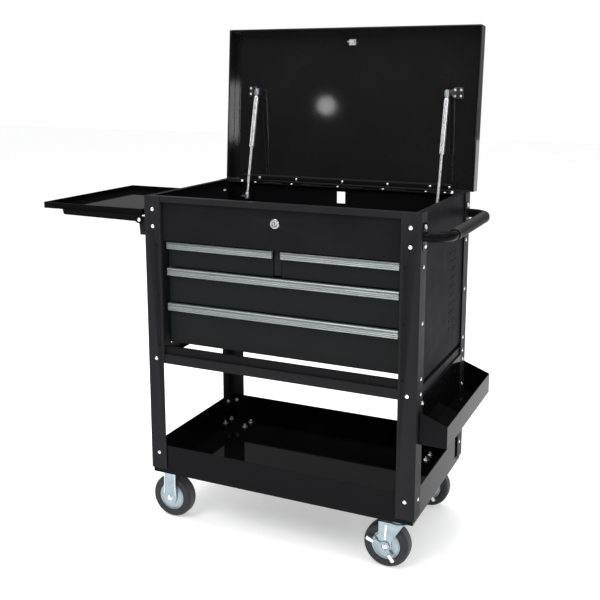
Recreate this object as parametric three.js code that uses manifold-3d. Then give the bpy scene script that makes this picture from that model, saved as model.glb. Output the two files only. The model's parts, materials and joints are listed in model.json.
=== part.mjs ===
// Four-drawer tool cart with a lidded top compartment, a fold-down side shelf,
// a push handle, a side bin and an open bottom tray on two fixed and two swivel casters.
// Millimetres. +X runs along the width, +Y to the back, +Z up.
// The origin lies on the floor below the centre of the cabinet. The front faces -Y.
// The lid stands open, the side shelf is up and all drawers are shut.

import * as THREE from 'three';
import { mergeVertices } from 'three/addons/utils/BufferGeometryUtils.js';
import Module from 'manifold-3d';

// ---------------------------------------------------------------- driving dimensions

const WIDTH = 716;
const DEPTH = 424;
const TRAY_BOTTOM = 132;
const TOP = 866;

const SHEET = 1.4;
const POST_SHEET = 1.8;
const GAP = 0.3;
const POST_FLANGE = 44;
const POST_BOTTOM = 145;

const PANEL_BOTTOM = 470;
const RAIL_BOTTOM = 434;
const RAIL_TOP = 458;
const TRAY_HEIGHT = 77;

const FASCIA_RECESS = 6;
const FASCIA_HEIGHT = 112;
const TOP_STRIP = 14;
const OPENING_HALF_WIDTH = 313;
const LOWER_STRIP_TOP = 478;

const DRAWER_HALF_WIDTH = 306.5;
const DRAWER_RECESS = 15.3;
const DRAWER_TOPS = [751, 683, 592];
const LAST_DRAWER_BOTTOM = 487;
const DRAWER_SPACE = 3;
const DRAWER_BACK = 170;
const DRAWER_SIDE = 292;
const DIVIDER_HALF = 9.5;
const SLIDE_HEIGHT = 34;
const PULL_HEIGHT = 20;
const PULL_DEPTH = 10.4;

const LID_OVERHANG = 8.5;
const LID_DEPTH = 38;
const LID_LENGTH = 427;
const LID_OPEN = 94.2;
const HINGE_DROP = 4;
const HINGE_BEHIND = 3;
const HINGE_HALF_LENGTH = 308;
const KNUCKLE_RADIUS = 4.1;
const KNUCKLES = 10;

const STRUT_INSET = 78;
const STRUT_FOOT = [184, 818];
const STRUT_HEAD = [252, 1116];
const STRUT_TUBE_END = 163;
const STRUT_TUBE_RADIUS = 7.2;
const STRUT_ROD_RADIUS = 4;

const HANDLE_REACH = 57;
const HANDLE_DROP = 54;
const HANDLE_HALF_SPAN = 190;
const HANDLE_RADIUS = 11.5;
const HANDLE_BEND = 38;
const GRIP_RADIUS = 14.5;
const GRIP_HALF_LENGTH = 138;

const BIN_REACH = 70;
const BIN_FRONT = -198;
const BIN_BACK = 212;
const BIN_BOTTOM = 330;
const BIN_INNER_TOP = 409;
const BIN_BACK_TOP = 438;
const BIN_OUTER_TOP = 382;

const SHELF_INNER = -372;
const SHELF_OUTER = -683;
const SHELF_FRONT = -206;
const SHELF_BACK = 196;
const SHELF_TOP = 830;
const SHELF_RIM = 16;
const SHELF_PIVOT = [-378, 803];
const SHELF_ARM_END = -620;
const ARM_SHEET = 2.8;

const WHEEL_RADIUS = 57;
const TREAD_WIDTH = 36;
const CASTER_INSET_X = 46;
const CASTER_INSET_Y = 41;
const CASTER_TRAIL = 28.5;
const FIXED_WHEEL_SHIFT = 6;
const CASTER_PLATE = [84, 60, 3];

const HALF_W = WIDTH / 2;
const HALF_D = DEPTH / 2;
const HINGE = [HALF_D + HINGE_BEHIND, TOP - HINGE_DROP];
const LEAF_OFFSET = 4.4;
const LEAF_SHEET = 1.2;
const LEAF_REACH = 14;

// ---------------------------------------------------------------- materials

function paint(color, roughness, metalness = 0.0) {
  return new THREE.MeshStandardMaterial({ color, roughness, metalness });
}

const BLACK_GLOSS = paint(0x151517, 0.22);
const BLACK_SATIN = paint(0x2a2b2e, 0.4);
const DRAWER_PAINT = paint(0x24282a, 0.38);
const BRUSHED_ALUMINIUM = paint(0xa7abae, 0.35, 1.0);
const BRIGHT_STEEL = paint(0xd4d6d8, 0.18, 1.0);
const ZINC = paint(0xaab2ba, 0.4, 1.0);
const RUBBER = paint(0x2b2b2d, 0.8);
const GRIP_VINYL = paint(0x1a1a1b, 0.6);

// ---------------------------------------------------------------- solids

const wasm = await Module();
wasm.setup();

function solid(geometry) {
  const bare = geometry.clone();
  bare.deleteAttribute('normal');
  bare.deleteAttribute('uv');
  const merged = mergeVertices(bare, 1e-4);
  const mesh = new wasm.Mesh({
    numProp: 3,
    vertProperties: new Float32Array(merged.attributes.position.array),
    triVerts: new Uint32Array(merged.index.array),
  });
  return new wasm.Manifold(mesh);
}

function block(x0, x1, y0, y1, z0, z1) {
  const geometry = new THREE.BoxGeometry(x1 - x0, y1 - y0, z1 - z0);
  geometry.translate((x0 + x1) / 2, (y0 + y1) / 2, (z0 + z1) / 2);
  return solid(geometry);
}

// A round bar from one end to the other along X, Y or Z.
function bar(axis, centre, from, to, radius, sides = 20) {
  const geometry = new THREE.CylinderGeometry(radius, radius, to - from, sides);
  const middle = (from + to) / 2;
  if (axis === 'x') {
    geometry.rotateZ(Math.PI / 2);
    geometry.translate(middle, centre[0], centre[1]);
  } else if (axis === 'y') {
    geometry.translate(centre[0], middle, centre[1]);
  } else {
    geometry.rotateX(Math.PI / 2);
    geometry.translate(centre[0], centre[1], middle);
  }
  return solid(geometry);
}

// A flat outline in the XZ plane, given thickness along Y.
function plateXZ(points, y0, y1) {
  const shape = new THREE.Shape(points.map(([x, z]) => new THREE.Vector2(x, z)));
  const geometry = new THREE.ExtrudeGeometry(shape, { depth: y1 - y0, bevelEnabled: false });
  geometry.rotateX(Math.PI / 2);
  geometry.translate(0, y1, 0);
  return solid(geometry);
}

// A flat outline in the YZ plane, given thickness along X.
function plateYZ(points, x0, x1) {
  const shape = new THREE.Shape(points.map(([y, z]) => new THREE.Vector2(y, z)));
  const geometry = new THREE.ExtrudeGeometry(shape, { depth: x1 - x0, bevelEnabled: false });
  geometry.rotateX(Math.PI / 2);
  geometry.rotateZ(Math.PI / 2);
  geometry.translate(x0, 0, 0);
  return solid(geometry);
}

// A turned shape about the Y axis through (x, z); the profile holds [radius, y] points.
function turnedY(profile, x, z, segments = 32) {
  const points = profile.map(([radius, y]) => new THREE.Vector2(radius, y));
  points.push(points[0].clone());
  const geometry = new THREE.LatheGeometry(points, segments);
  geometry.translate(x, 0, z);
  return solid(geometry);
}

function join(...pieces) {
  return pieces.reduce((sum, piece) => sum.add(piece));
}

function cut(body, ...tools) {
  return tools.reduce((left, tool) => left.subtract(tool), body);
}

const cart = new THREE.Group();

function addPiece(name, body, material, group = cart) {
  const data = body.getMesh();
  const geometry = new THREE.BufferGeometry();
  geometry.setAttribute('position', new THREE.BufferAttribute(new Float32Array(data.vertProperties), 3));
  geometry.setIndex(new THREE.BufferAttribute(new Uint32Array(data.triVerts), 1));
  geometry.computeVertexNormals();
  const mesh = new THREE.Mesh(geometry, material);
  mesh.name = name;
  group.add(mesh);
}

function mirroredX(body, side) {
  return side < 0 ? body : body.mirror([1, 0, 0]);
}

// ---------------------------------------------------------------- frame

function addPosts() {
  for (const [across, side] of [['left', -1], ['right', 1]]) {
    for (const [along, end] of [['front', -1], ['rear', 1]]) {
      const faceEdges = [end * HALF_D, end * (HALF_D - POST_SHEET)].sort((a, b) => a - b);
      const flangeEdges = [end * HALF_D, end * (HALF_D - POST_FLANGE)].sort((a, b) => a - b);
      const face = block(-HALF_W, -HALF_W + POST_FLANGE, ...faceEdges, POST_BOTTOM, TOP);
      const flange = block(-HALF_W, -HALF_W + POST_SHEET, ...flangeEdges, POST_BOTTOM, TOP);
      addPiece(`post_${along}_${across}`, mirroredX(join(face, flange), side), BLACK_SATIN);
    }
  }
}

const SKIN = HALF_W - POST_SHEET - GAP;
const SKIN_INSIDE = SKIN - SHEET;
const LINER = SKIN_INSIDE - GAP;
const FACE = -HALF_D + POST_SHEET + GAP;
const BACK_FACE = HALF_D - POST_SHEET - GAP;

function addSidePanels() {
  const front = FACE + SHEET + GAP;
  const back = BACK_FACE - 5;
  for (const [across, side] of [['left', -1], ['right', 1]]) {
    const sheet = block(-SKIN, -SKIN_INSIDE, front, back, PANEL_BOTTOM, TOP);
    const topFlange = block(-SKIN, -SKIN + 14, -191.5, 193, TOP - SHEET, TOP);
    const bottomFlange = block(-SKIN, -SKIN + 14, front, back, PANEL_BOTTOM, PANEL_BOTTOM + SHEET);
    addPiece(`side_panel_${across}`, mirroredX(join(sheet, topFlange, bottomFlange), side), BLACK_SATIN);
  }
}

const REAR_FLANGE_TOP = HINGE[1] - LEAF_OFFSET - GAP;
const REAR_FLANGE_DEPTH = 10;
const CABLE_SLOT = [24, 813, 845];

function addBackPanel() {
  const sheet = block(-LINER, LINER, BACK_FACE - SHEET, BACK_FACE, PANEL_BOTTOM, REAR_FLANGE_TOP);
  const front = BACK_FACE - REAR_FLANGE_DEPTH;
  const flange = block(-LINER, LINER, front, BACK_FACE, REAR_FLANGE_TOP - SHEET, REAR_FLANGE_TOP);
  const [width, low, high] = CABLE_SLOT;
  const slot = block(-width / 2, width / 2, BACK_FACE - SHEET - 1, BACK_FACE + 1, low, high);
  addPiece('back_panel', cut(join(sheet, flange), slot), BLACK_GLOSS);
}

const PANEL_FRONT = FACE + FASCIA_RECESS;
const LOCK_CENTRE = [0, 817.5];
const LOCK_BARREL_RADIUS = 9;

function addFrontFrame() {
  const stripBottom = TOP - TOP_STRIP;
  const fasciaBottom = TOP - FASCIA_HEIGHT;
  const bottom = RAIL_TOP + GAP;
  const edge = OPENING_HALF_WIDTH;
  const fold = HALF_W - POST_FLANGE - GAP;
  const pieces = [
    block(-LINER, LINER, FACE, FACE + SHEET, stripBottom, TOP),
    block(-LINER, LINER, FACE, FACE + 16, TOP - SHEET, TOP),
    block(-fold, fold, -HALF_D, -HALF_D + SHEET, stripBottom, TOP),
    block(-fold, fold, -HALF_D, FACE + SHEET, TOP - SHEET, TOP),
    block(-fold, fold, -HALF_D, PANEL_FRONT + SHEET, stripBottom, stripBottom + SHEET),
    block(-edge, edge, PANEL_FRONT, PANEL_FRONT + SHEET, fasciaBottom, stripBottom + SHEET),
    block(-edge, edge, PANEL_FRONT, PANEL_FRONT + 10, fasciaBottom, fasciaBottom + SHEET),
    block(-edge, edge, PANEL_FRONT, PANEL_FRONT + SHEET, bottom, LOWER_STRIP_TOP),
    block(-edge, edge, PANEL_FRONT, PANEL_FRONT + 10, LOWER_STRIP_TOP - SHEET, LOWER_STRIP_TOP),
  ];
  for (const side of [-1, 1]) {
    const strip = block(-LINER, -edge, FACE, FACE + SHEET, bottom, TOP);
    const step = block(-edge - SHEET, -edge, FACE, PANEL_FRONT + SHEET, bottom, TOP - SHEET);
    const jamb = block(-edge - SHEET, -edge, FACE, SLIDE_FRONT - 2, bottom, fasciaBottom + SHEET);
    pieces.push(mirroredX(strip, side), mirroredX(step, side), mirroredX(jamb, side));
  }
  const lockHole = bar('y', LOCK_CENTRE, PANEL_FRONT - 1, PANEL_FRONT + SHEET + 1, LOCK_BARREL_RADIUS + GAP);
  addPiece('front_frame', cut(join(...pieces), lockHole), BLACK_SATIN);
}

function addCompartmentFloor() {
  const z = TOP - FASCIA_HEIGHT + SHEET + GAP;
  const front = PANEL_FRONT + SHEET + GAP;
  const back = BACK_FACE - SHEET - GAP;
  const sheet = block(-LINER, LINER, front, back, z, z + SHEET);
  addPiece('compartment_floor', sheet, BLACK_GLOSS);
}

const SLIDE_FRONT = -176;
const SLIDE_BACK = DRAWER_BACK;

function drawerBottom(row) {
  return row < 2 ? DRAWER_TOPS[row + 1] + DRAWER_SPACE : LAST_DRAWER_BOTTOM;
}

function slideCentre(row) {
  return (DRAWER_TOPS[row] + drawerBottom(row)) / 2;
}

function addDivider() {
  const bottom = drawerBottom(0) + 3;
  const top = TOP - FASCIA_HEIGHT - 1;
  const back = BACK_FACE - SHEET - GAP;
  const front = PANEL_FRONT + DRAWER_RECESS + 1;
  const pieces = [
    block(-DIVIDER_HALF, DIVIDER_HALF, front, front + SHEET, bottom, top),
    block(-DIVIDER_HALF, -DIVIDER_HALF + SHEET, front, back, bottom, top),
    block(DIVIDER_HALF - SHEET, DIVIDER_HALF, front, back, bottom, top),
    block(-DIVIDER_HALF, DIVIDER_HALF, front, back, top - SHEET, top),
  ];
  const z = slideCentre(0);
  for (const side of [-1, 1]) {
    const rail = block(-DIVIDER_HALF - 5, -DIVIDER_HALF, SLIDE_FRONT, SLIDE_BACK, z - 16, z + 16);
    pieces.push(mirroredX(rail, side));
  }
  addPiece('drawer_divider', join(...pieces), BLACK_SATIN);
}

function addSlideRacks() {
  for (const [across, side] of [['left', -1], ['right', 1]]) {
    const pieces = [];
    for (const y of [-176, 148]) {
      pieces.push(block(-LINER, -DRAWER_HALF_WIDTH, y, y + 20, PANEL_BOTTOM + 14, 745));
    }
    for (let row = 0; row < DRAWER_TOPS.length; row += 1) {
      const z = slideCentre(row);
      const half = SLIDE_HEIGHT / 2;
      pieces.push(block(-DRAWER_HALF_WIDTH - 1, -DRAWER_HALF_WIDTH + 5, SLIDE_FRONT, SLIDE_BACK, z - half, z + half));
    }
    addPiece(`slide_rack_${across}`, mirroredX(join(...pieces), side), ZINC);
  }
}

function addRails() {
  const height = [RAIL_BOTTOM, RAIL_TOP];
  for (const [along, end] of [['front', -1], ['rear', 1]]) {
    const y0 = end < 0 ? FACE : BACK_FACE - SHEET;
    const inward = end < 0 ? [FACE, FACE + 14] : [BACK_FACE - 14, BACK_FACE];
    const web = block(-LINER, LINER, y0, y0 + SHEET, ...height);
    const lower = block(-LINER, LINER, ...inward, RAIL_BOTTOM, RAIL_BOTTOM + SHEET);
    const upper = block(-LINER, LINER, ...inward, RAIL_TOP - SHEET, RAIL_TOP);
    addPiece(`rail_${along}`, join(web, lower, upper), BLACK_SATIN);
  }
  for (const [across, side] of [['left', -1], ['right', 1]]) {
    const reach = [FACE + 14 + GAP, BACK_FACE - 14 - GAP];
    const web = block(-SKIN, -SKIN_INSIDE, ...reach, ...height);
    const lower = block(-SKIN, -SKIN + 14, ...reach, RAIL_BOTTOM, RAIL_BOTTOM + SHEET);
    const upper = block(-SKIN, -SKIN + 14, ...reach, RAIL_TOP - SHEET, RAIL_TOP);
    addPiece(`rail_${across}`, mirroredX(join(web, lower, upper), side), BLACK_SATIN);
  }
}

function addTray() {
  const top = TRAY_BOTTOM + TRAY_HEIGHT;
  const outer = block(-SKIN, SKIN, FACE, BACK_FACE, TRAY_BOTTOM, top);
  const wall = 1.6;
  const hem = 3;
  const inner = block(-SKIN + wall, SKIN - wall, FACE + wall, BACK_FACE - wall, TRAY_BOTTOM + wall, top - 6);
  const mouth = block(-SKIN + hem, SKIN - hem, FACE + hem, BACK_FACE - hem, TRAY_BOTTOM + 10, top + 1);
  addPiece('bottom_tray', cut(outer, inner, mouth), BLACK_GLOSS);
}

// ---------------------------------------------------------------- lid, hinge and struts

// Pieces of the lid are drawn shut and turned open about the hinge pin.
function liftedGroup() {
  const outer = new THREE.Group();
  outer.position.set(0, HINGE[0], HINGE[1]);
  outer.rotation.x = THREE.MathUtils.degToRad(-LID_OPEN);
  const inner = new THREE.Group();
  inner.position.set(0, -HINGE[0], -HINGE[1]);
  outer.add(inner);
  cart.add(outer);
  return inner;
}

const LID_RIM = TOP + 0.7;
const LID_BACK = HINGE[0] - 1;
const LID_FRONT = LID_BACK - LID_LENGTH;
const LID_TOP = LID_RIM + LID_DEPTH;
const LID_SHEET = 1.5;

function addLid(group) {
  const half = HALF_W + LID_OVERHANG;
  const outer = block(-half, half, LID_FRONT, LID_BACK, LID_RIM, LID_TOP);
  const inside = half - LID_SHEET;
  const y0 = LID_FRONT + LID_SHEET;
  const y1 = LID_BACK - LID_SHEET;
  const inner = block(-inside, inside, y0, y1, LID_RIM - 1, LID_TOP - LID_SHEET);
  const flange = block(
    -HINGE_HALF_LENGTH, HINGE_HALF_LENGTH, LID_BACK - 18, LID_BACK, LID_RIM, LID_RIM + LID_SHEET);
  addPiece('lid', join(cut(outer, inner), flange), BLACK_GLOSS, group);
}

function hingeLeaf(ownKnuckles, z0, pinHole) {
  const pitch = (2 * HINGE_HALF_LENGTH) / KNUCKLES;
  const half = HINGE_HALF_LENGTH;
  const pieces = [block(-half, half, HINGE[0] - LEAF_REACH, HINGE[0] - 4.6, z0, z0 + LEAF_SHEET)];
  for (let i = ownKnuckles; i < KNUCKLES; i += 2) {
    const x0 = -HINGE_HALF_LENGTH + i * pitch + 0.4;
    const x1 = x0 + pitch - 0.8;
    pieces.push(block(x0, x1, HINGE[0] - 5, HINGE[0], z0, z0 + LEAF_SHEET));
    pieces.push(bar('x', HINGE, x0, x1, KNUCKLE_RADIUS, 12));
  }
  const leaf = join(...pieces);
  const pin = bar('x', HINGE, -half, half, pinHole ? 2.1 : 1.6, 12);
  return pinHole ? cut(leaf, pin) : join(leaf, pin);
}

function addHinge(group) {
  const low = HINGE[1] - LEAF_OFFSET;
  const high = HINGE[1] + LEAF_OFFSET - LEAF_SHEET;
  addPiece('hinge_leaf_body', hingeLeaf(0, low, false), BLACK_SATIN);
  addPiece('hinge_leaf_lid', hingeLeaf(1, high, true), BLACK_SATIN, group);
}

// The bracket's stud points inboard from an ear that stands off its base plate.
const STUD_RADIUS = 4;
const EAR = 2;

function strutHeadShut() {
  const angle = THREE.MathUtils.degToRad(LID_OPEN);
  const y = STRUT_HEAD[0] - HINGE[0];
  const z = STRUT_HEAD[1] - HINGE[1];
  return [
    HINGE[0] + y * Math.cos(angle) - z * Math.sin(angle),
    HINGE[1] + y * Math.sin(angle) + z * Math.cos(angle),
  ];
}

function addStrutBrackets(group) {
  const head = strutHeadShut();
  const foot = STRUT_FOOT;
  const strut = HALF_W - STRUT_INSET;
  const ceiling = LID_TOP - LID_SHEET - GAP;
  const wall = BACK_FACE - SHEET - GAP;
  for (const [across, side] of [['left', -1], ['right', 1]]) {
    const ear = -strut - 12;
    const lidBase = block(ear - 14, ear + EAR, head[0] - 12, head[0] + 12, ceiling - EAR, ceiling);
    const lidEar = block(ear, ear + EAR, head[0] - 9, head[0] + 9, head[1] - 6, ceiling);
    const lidStud = bar('x', head, ear, ear + 4, STUD_RADIUS);
    const lidBracket = mirroredX(join(lidBase, lidEar, lidStud), side);
    addPiece(`strut_bracket_lid_${across}`, lidBracket, ZINC, group);
    const bodyBase = block(ear - 14, ear + EAR, wall - EAR, wall, foot[1] - 14, foot[1] + 14);
    const bodyEar = block(ear, ear + EAR, foot[0] - 7, wall, foot[1] - 9, foot[1] + 9);
    const bodyStud = bar('x', foot, ear, -strut - 6, STUD_RADIUS);
    const bodyBracket = mirroredX(join(bodyBase, bodyEar, bodyStud), side);
    addPiece(`strut_bracket_body_${across}`, bodyBracket, ZINC);
  }
}

// Struts are drawn upright, head at the origin, and turned into the line from foot to head.
function addStruts() {
  const run = STRUT_HEAD[0] - STRUT_FOOT[0];
  const rise = STRUT_HEAD[1] - STRUT_FOOT[1];
  const length = Math.hypot(run, rise);
  const lean = -Math.atan2(run, rise);
  const strut = HALF_W - STRUT_INSET;
  const socket = cut(bar('x', [0, 0], -5.5, 5.5, 7.5), bar('x', [0, 0], -6, 4.3, STUD_RADIUS + GAP));
  const tube = join(
    bar('z', [0, 0], -STRUT_TUBE_END, -14, STRUT_TUBE_RADIUS, 20),
    bar('z', [0, 0], -16, -5.5, 4, 16),
  );
  const bore = bar('z', [0, 0], -STRUT_TUBE_END - 1, -STRUT_TUBE_END + 87, STRUT_ROD_RADIUS + GAP);
  const head = join(socket, tube);
  const rod = join(
    bar('z', [0, 0], -length + 5, -STRUT_TUBE_END + 12, STRUT_ROD_RADIUS),
    bar('x', [0, -length], -5.5, 5.5, 7),
  );
  for (const [across, side] of [['left', -1], ['right', 1]]) {
    const holder = new THREE.Group();
    holder.position.set(side * strut, ...STRUT_HEAD);
    holder.rotation.x = lean;
    cart.add(holder);
    addPiece(`strut_cylinder_${across}`, mirroredX(cut(head, bore), side), BRIGHT_STEEL, holder);
    addPiece(`strut_rod_${across}`, mirroredX(rod, side), BRIGHT_STEEL, holder);
  }
}

// ---------------------------------------------------------------- lock

function addLock() {
  const front = PANEL_FRONT - GAP;
  const bezel = bar('y', LOCK_CENTRE, front - 2.6, front, 12, 28);
  const barrel = bar('y', LOCK_CENTRE, front - 1, front + 22, LOCK_BARREL_RADIUS, 24);
  const bore = bar('y', LOCK_CENTRE, front - 4, front + 24, 6.3, 24);
  addPiece('lock_housing', cut(join(bezel, barrel), bore), BRIGHT_STEEL);
  const keySlot = block(-1, 1, front - 5, front - 1, LOCK_CENTRE[1] - 3.5, LOCK_CENTRE[1] + 3.5);
  const plug = cut(bar('y', LOCK_CENTRE, front - 2.4, front + 24, 6, 24), keySlot);
  const cam = block(-8, 30, front + 22.5, front + 24.5, LOCK_CENTRE[1] - 7, LOCK_CENTRE[1] + 7);
  addPiece('lock_plug', join(plug, cam), BRIGHT_STEEL);
}

// ---------------------------------------------------------------- drawers

const DRAWER_FRONT = PANEL_FRONT + DRAWER_RECESS;

function drawerBody(row, x0, x1, boxX0, boxX1, railX0, railX1) {
  const bottom = drawerBottom(row);
  const top = DRAWER_TOPS[row];
  const boxBottom = bottom + 6;
  const boxTop = top - 10;
  const z = slideCentre(row);
  const back = DRAWER_BACK;
  const shell = block(boxX0, boxX1, DRAWER_FRONT, back, boxBottom, boxTop);
  const inside = block(boxX0 + 1.2, boxX1 - 1.2, DRAWER_FRONT + 2.4, back - 1.2, boxBottom + 1.2, boxTop + 1);
  const face = block(x0, x1, DRAWER_FRONT, DRAWER_FRONT + SHEET, bottom, top);
  const topReturn = block(x0, x1, DRAWER_FRONT, DRAWER_FRONT + 9, top - SHEET, top);
  const railLeft = block(railX0, boxX0 + 0.5, SLIDE_FRONT, back, z - 11, z + 11);
  const railRight = block(boxX1 - 0.5, railX1, SLIDE_FRONT, back, z - 11, z + 11);
  return join(cut(shell, inside), face, topReturn, railLeft, railRight);
}

// An aluminium pull: a ribbed front wall, a top wall and a back wall, open below for the fingers.
function pullBody(row, x0, x1) {
  const top = DRAWER_TOPS[row] + 0.5;
  const bottom = top - PULL_HEIGHT;
  const back = DRAWER_FRONT - GAP;
  const front = back - PULL_DEPTH;
  const wall = 1.8;
  const outline = [
    [back, bottom + 4],
    [back, top],
    [front + 4, top],
    [front + 1.2, top - 1.2],
    [front, top - 4],
    [front, bottom + 1.5],
    [front + 1, bottom],
    [front + wall, bottom],
    [front + wall, top - wall - 1.5],
    [back - wall, top - wall - 1.5],
    [back - wall, bottom + 4],
  ];
  return plateYZ(outline, x0, x1);
}

function addDrawers() {
  const edge = DRAWER_HALF_WIDTH;
  const inner = 11.5;
  const outerRail = -edge + 5 + GAP;
  const innerRail = -DIVIDER_HALF - 5 - GAP;
  for (const [across, side] of [['left', -1], ['right', 1]]) {
    const body = drawerBody(0, -edge, -inner, -DRAWER_SIDE, -21, outerRail, innerRail);
    addPiece(`drawer_top_${across}`, mirroredX(body, side), DRAWER_PAINT);
    addPiece(`pull_top_${across}`, mirroredX(pullBody(0, -edge, -inner), side), BRUSHED_ALUMINIUM);
  }
  for (const [name, row] of [['middle', 1], ['bottom', 2]]) {
    const body = drawerBody(row, -edge, edge, -DRAWER_SIDE, DRAWER_SIDE, outerRail, -outerRail);
    addPiece(`drawer_${name}`, body, DRAWER_PAINT);
    addPiece(`pull_${name}`, pullBody(row, -edge, edge), BRUSHED_ALUMINIUM);
  }
}

// ---------------------------------------------------------------- handle, bin and shelf

function addHandle() {
  const z = TOP - HANDLE_DROP;
  const wall = HALF_W + GAP;
  const reach = HALF_W + HANDLE_REACH;
  const span = HANDLE_HALF_SPAN;
  const path = new THREE.CurvePath();
  const at = (x, y) => new THREE.Vector3(x, y, z);
  path.add(new THREE.LineCurve3(at(wall + 1, -span), at(reach - HANDLE_BEND, -span)));
  path.add(new THREE.QuadraticBezierCurve3(
    at(reach - HANDLE_BEND, -span), at(reach, -span), at(reach, -span + HANDLE_BEND)));
  path.add(new THREE.LineCurve3(at(reach, -span + HANDLE_BEND), at(reach, span - HANDLE_BEND)));
  path.add(new THREE.QuadraticBezierCurve3(
    at(reach, span - HANDLE_BEND), at(reach, span), at(reach - HANDLE_BEND, span)));
  path.add(new THREE.LineCurve3(at(reach - HANDLE_BEND, span), at(wall + 1, span)));
  const ring = new THREE.Shape();
  ring.absarc(0, 0, HANDLE_RADIUS, 0, 2 * Math.PI);
  const tube = new THREE.ExtrudeGeometry(ring, { extrudePath: path, steps: 44, curveSegments: 6 });
  const pieces = [solid(tube)];
  for (const y of [-span, span]) {
    const centre = y - Math.sign(y) * 3;
    pieces.push(block(wall, wall + 3, centre - 15, centre + 15, z - 31, z + 31));
  }
  addPiece('push_handle', join(...pieces), BLACK_GLOSS);
  const sleeve = bar('y', [reach, z], -GRIP_HALF_LENGTH, GRIP_HALF_LENGTH, GRIP_RADIUS, 24);
  const bore = bar('y', [reach, z], -GRIP_HALF_LENGTH - 1, GRIP_HALF_LENGTH + 1, HANDLE_RADIUS + 0.4, 24);
  addPiece('handle_grip', cut(sleeve, bore), GRIP_VINYL);
}

function addBin() {
  const wall = HALF_W + GAP;
  const outer = HALF_W + BIN_REACH;
  const section = [
    [wall, BIN_BOTTOM],
    [outer, BIN_BOTTOM],
    [outer, BIN_OUTER_TOP],
    [wall, BIN_INNER_TOP],
  ];
  const trough = plateXZ(section, BIN_FRONT, BIN_BACK);
  const hollow = plateXZ([
    [wall + SHEET, BIN_BOTTOM + SHEET],
    [outer - SHEET, BIN_BOTTOM + SHEET],
    [outer - SHEET, BIN_INNER_TOP + 20],
    [wall + SHEET, BIN_INNER_TOP + 20],
  ], BIN_FRONT + SHEET, BIN_BACK - SHEET);
  const back = block(wall, wall + SHEET, BIN_FRONT, BIN_BACK, BIN_INNER_TOP - 2, BIN_BACK_TOP);
  addPiece('side_bin', join(cut(trough, hollow), back), BLACK_GLOSS);
}

function addShelf() {
  const floor = SHELF_TOP - SHELF_RIM;
  const sheet = 1.4;
  const rim = block(SHELF_OUTER, SHELF_INNER, SHELF_FRONT, SHELF_BACK, floor, SHELF_TOP);
  const inside = block(
    SHELF_OUTER + sheet, SHELF_INNER - sheet, SHELF_FRONT + sheet, SHELF_BACK - sheet, floor + sheet, SHELF_TOP + 1);
  const [pivotX, pivotZ] = SHELF_PIVOT;
  const low = pivotZ - 2;
  const armOutline = [
    [SHELF_ARM_END, floor + 1],
    [SHELF_ARM_END + 2, low + 3],
    [SHELF_ARM_END + 6, low],
    [pivotX - 14, pivotZ - 5],
    [pivotX - 7, pivotZ - 9],
    [pivotX + 2, pivotZ - 10],
    [pivotX + 8, pivotZ - 6],
    [SHELF_INNER, pivotZ + 2],
    [SHELF_INNER, floor + 1],
  ];
  const pieces = [cut(rim, inside)];
  const holes = [];
  for (const y of [SHELF_FRONT - ARM_SHEET + 0.4, SHELF_BACK - 0.4]) {
    pieces.push(plateXZ(armOutline, y, y + ARM_SHEET));
    holes.push(bar('y', SHELF_PIVOT, y - 1, y + ARM_SHEET + 1, 4.4));
  }
  addPiece('side_shelf', cut(join(...pieces), ...holes), BLACK_GLOSS);

  const wall = -HALF_W - GAP;
  const earOutline = [
    [wall, pivotZ - 39],
    [wall - 21, pivotZ - 39],
    [wall - 23, pivotZ - 12],
    [pivotX - 8, pivotZ - 6],
    [pivotX - 8, pivotZ + 4],
    [pivotX - 2, pivotZ + 8.5],
    [wall, pivotZ + 8.5],
  ];
  for (const [along, end] of [['front', -1], ['rear', 1]]) {
    const armFace = end < 0 ? SHELF_FRONT + 0.4 : SHELF_BACK - 0.4;
    const ear = [armFace - end * 0.5, armFace - end * 2.5].sort((a, b) => a - b);
    const base = [armFace - end * 0.5, armFace - end * 30].sort((a, b) => a - b);
    const pin = [armFace - end * 1, armFace + end * 4.5].sort((a, b) => a - b);
    const head = [armFace + end * (ARM_SHEET + 0.5), armFace + end * 5].sort((a, b) => a - b);
    const pieces = [
      plateXZ(earOutline, ...ear),
      block(wall - 2, wall, ...base, pivotZ - 39, pivotZ + 8.5),
      bar('y', SHELF_PIVOT, ...pin, 4, 20),
      bar('y', SHELF_PIVOT, ...head, 6.5, 20),
    ];
    addPiece(`shelf_bracket_${along}`, join(...pieces), BLACK_SATIN);
  }
}

// ---------------------------------------------------------------- casters

const PLATE_TOP = TRAY_BOTTOM - GAP;
const PLATE_LOW = PLATE_TOP - CASTER_PLATE[2];
const AXLE_RADIUS = 4;
const FORK_INSIDE = TREAD_WIDTH / 2 + 3;
const FORK_SHEET = 2.5;

function casterPlate(x, y) {
  const [long, wide] = CASTER_PLATE;
  return block(x - long / 2, x + long / 2, y - wide / 2, y + wide / 2, PLATE_LOW, PLATE_TOP);
}

function legOutline(x, topX, topHalf, top) {
  return [
    [topX - topHalf, top],
    [x - 14, WHEEL_RADIUS + 4],
    [x - 12, WHEEL_RADIUS - 8],
    [x - 6, WHEEL_RADIUS - 13],
    [x + 6, WHEEL_RADIUS - 13],
    [x + 12, WHEEL_RADIUS - 8],
    [x + 14, WHEEL_RADIUS + 4],
    [topX + topHalf, top],
  ];
}

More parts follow.
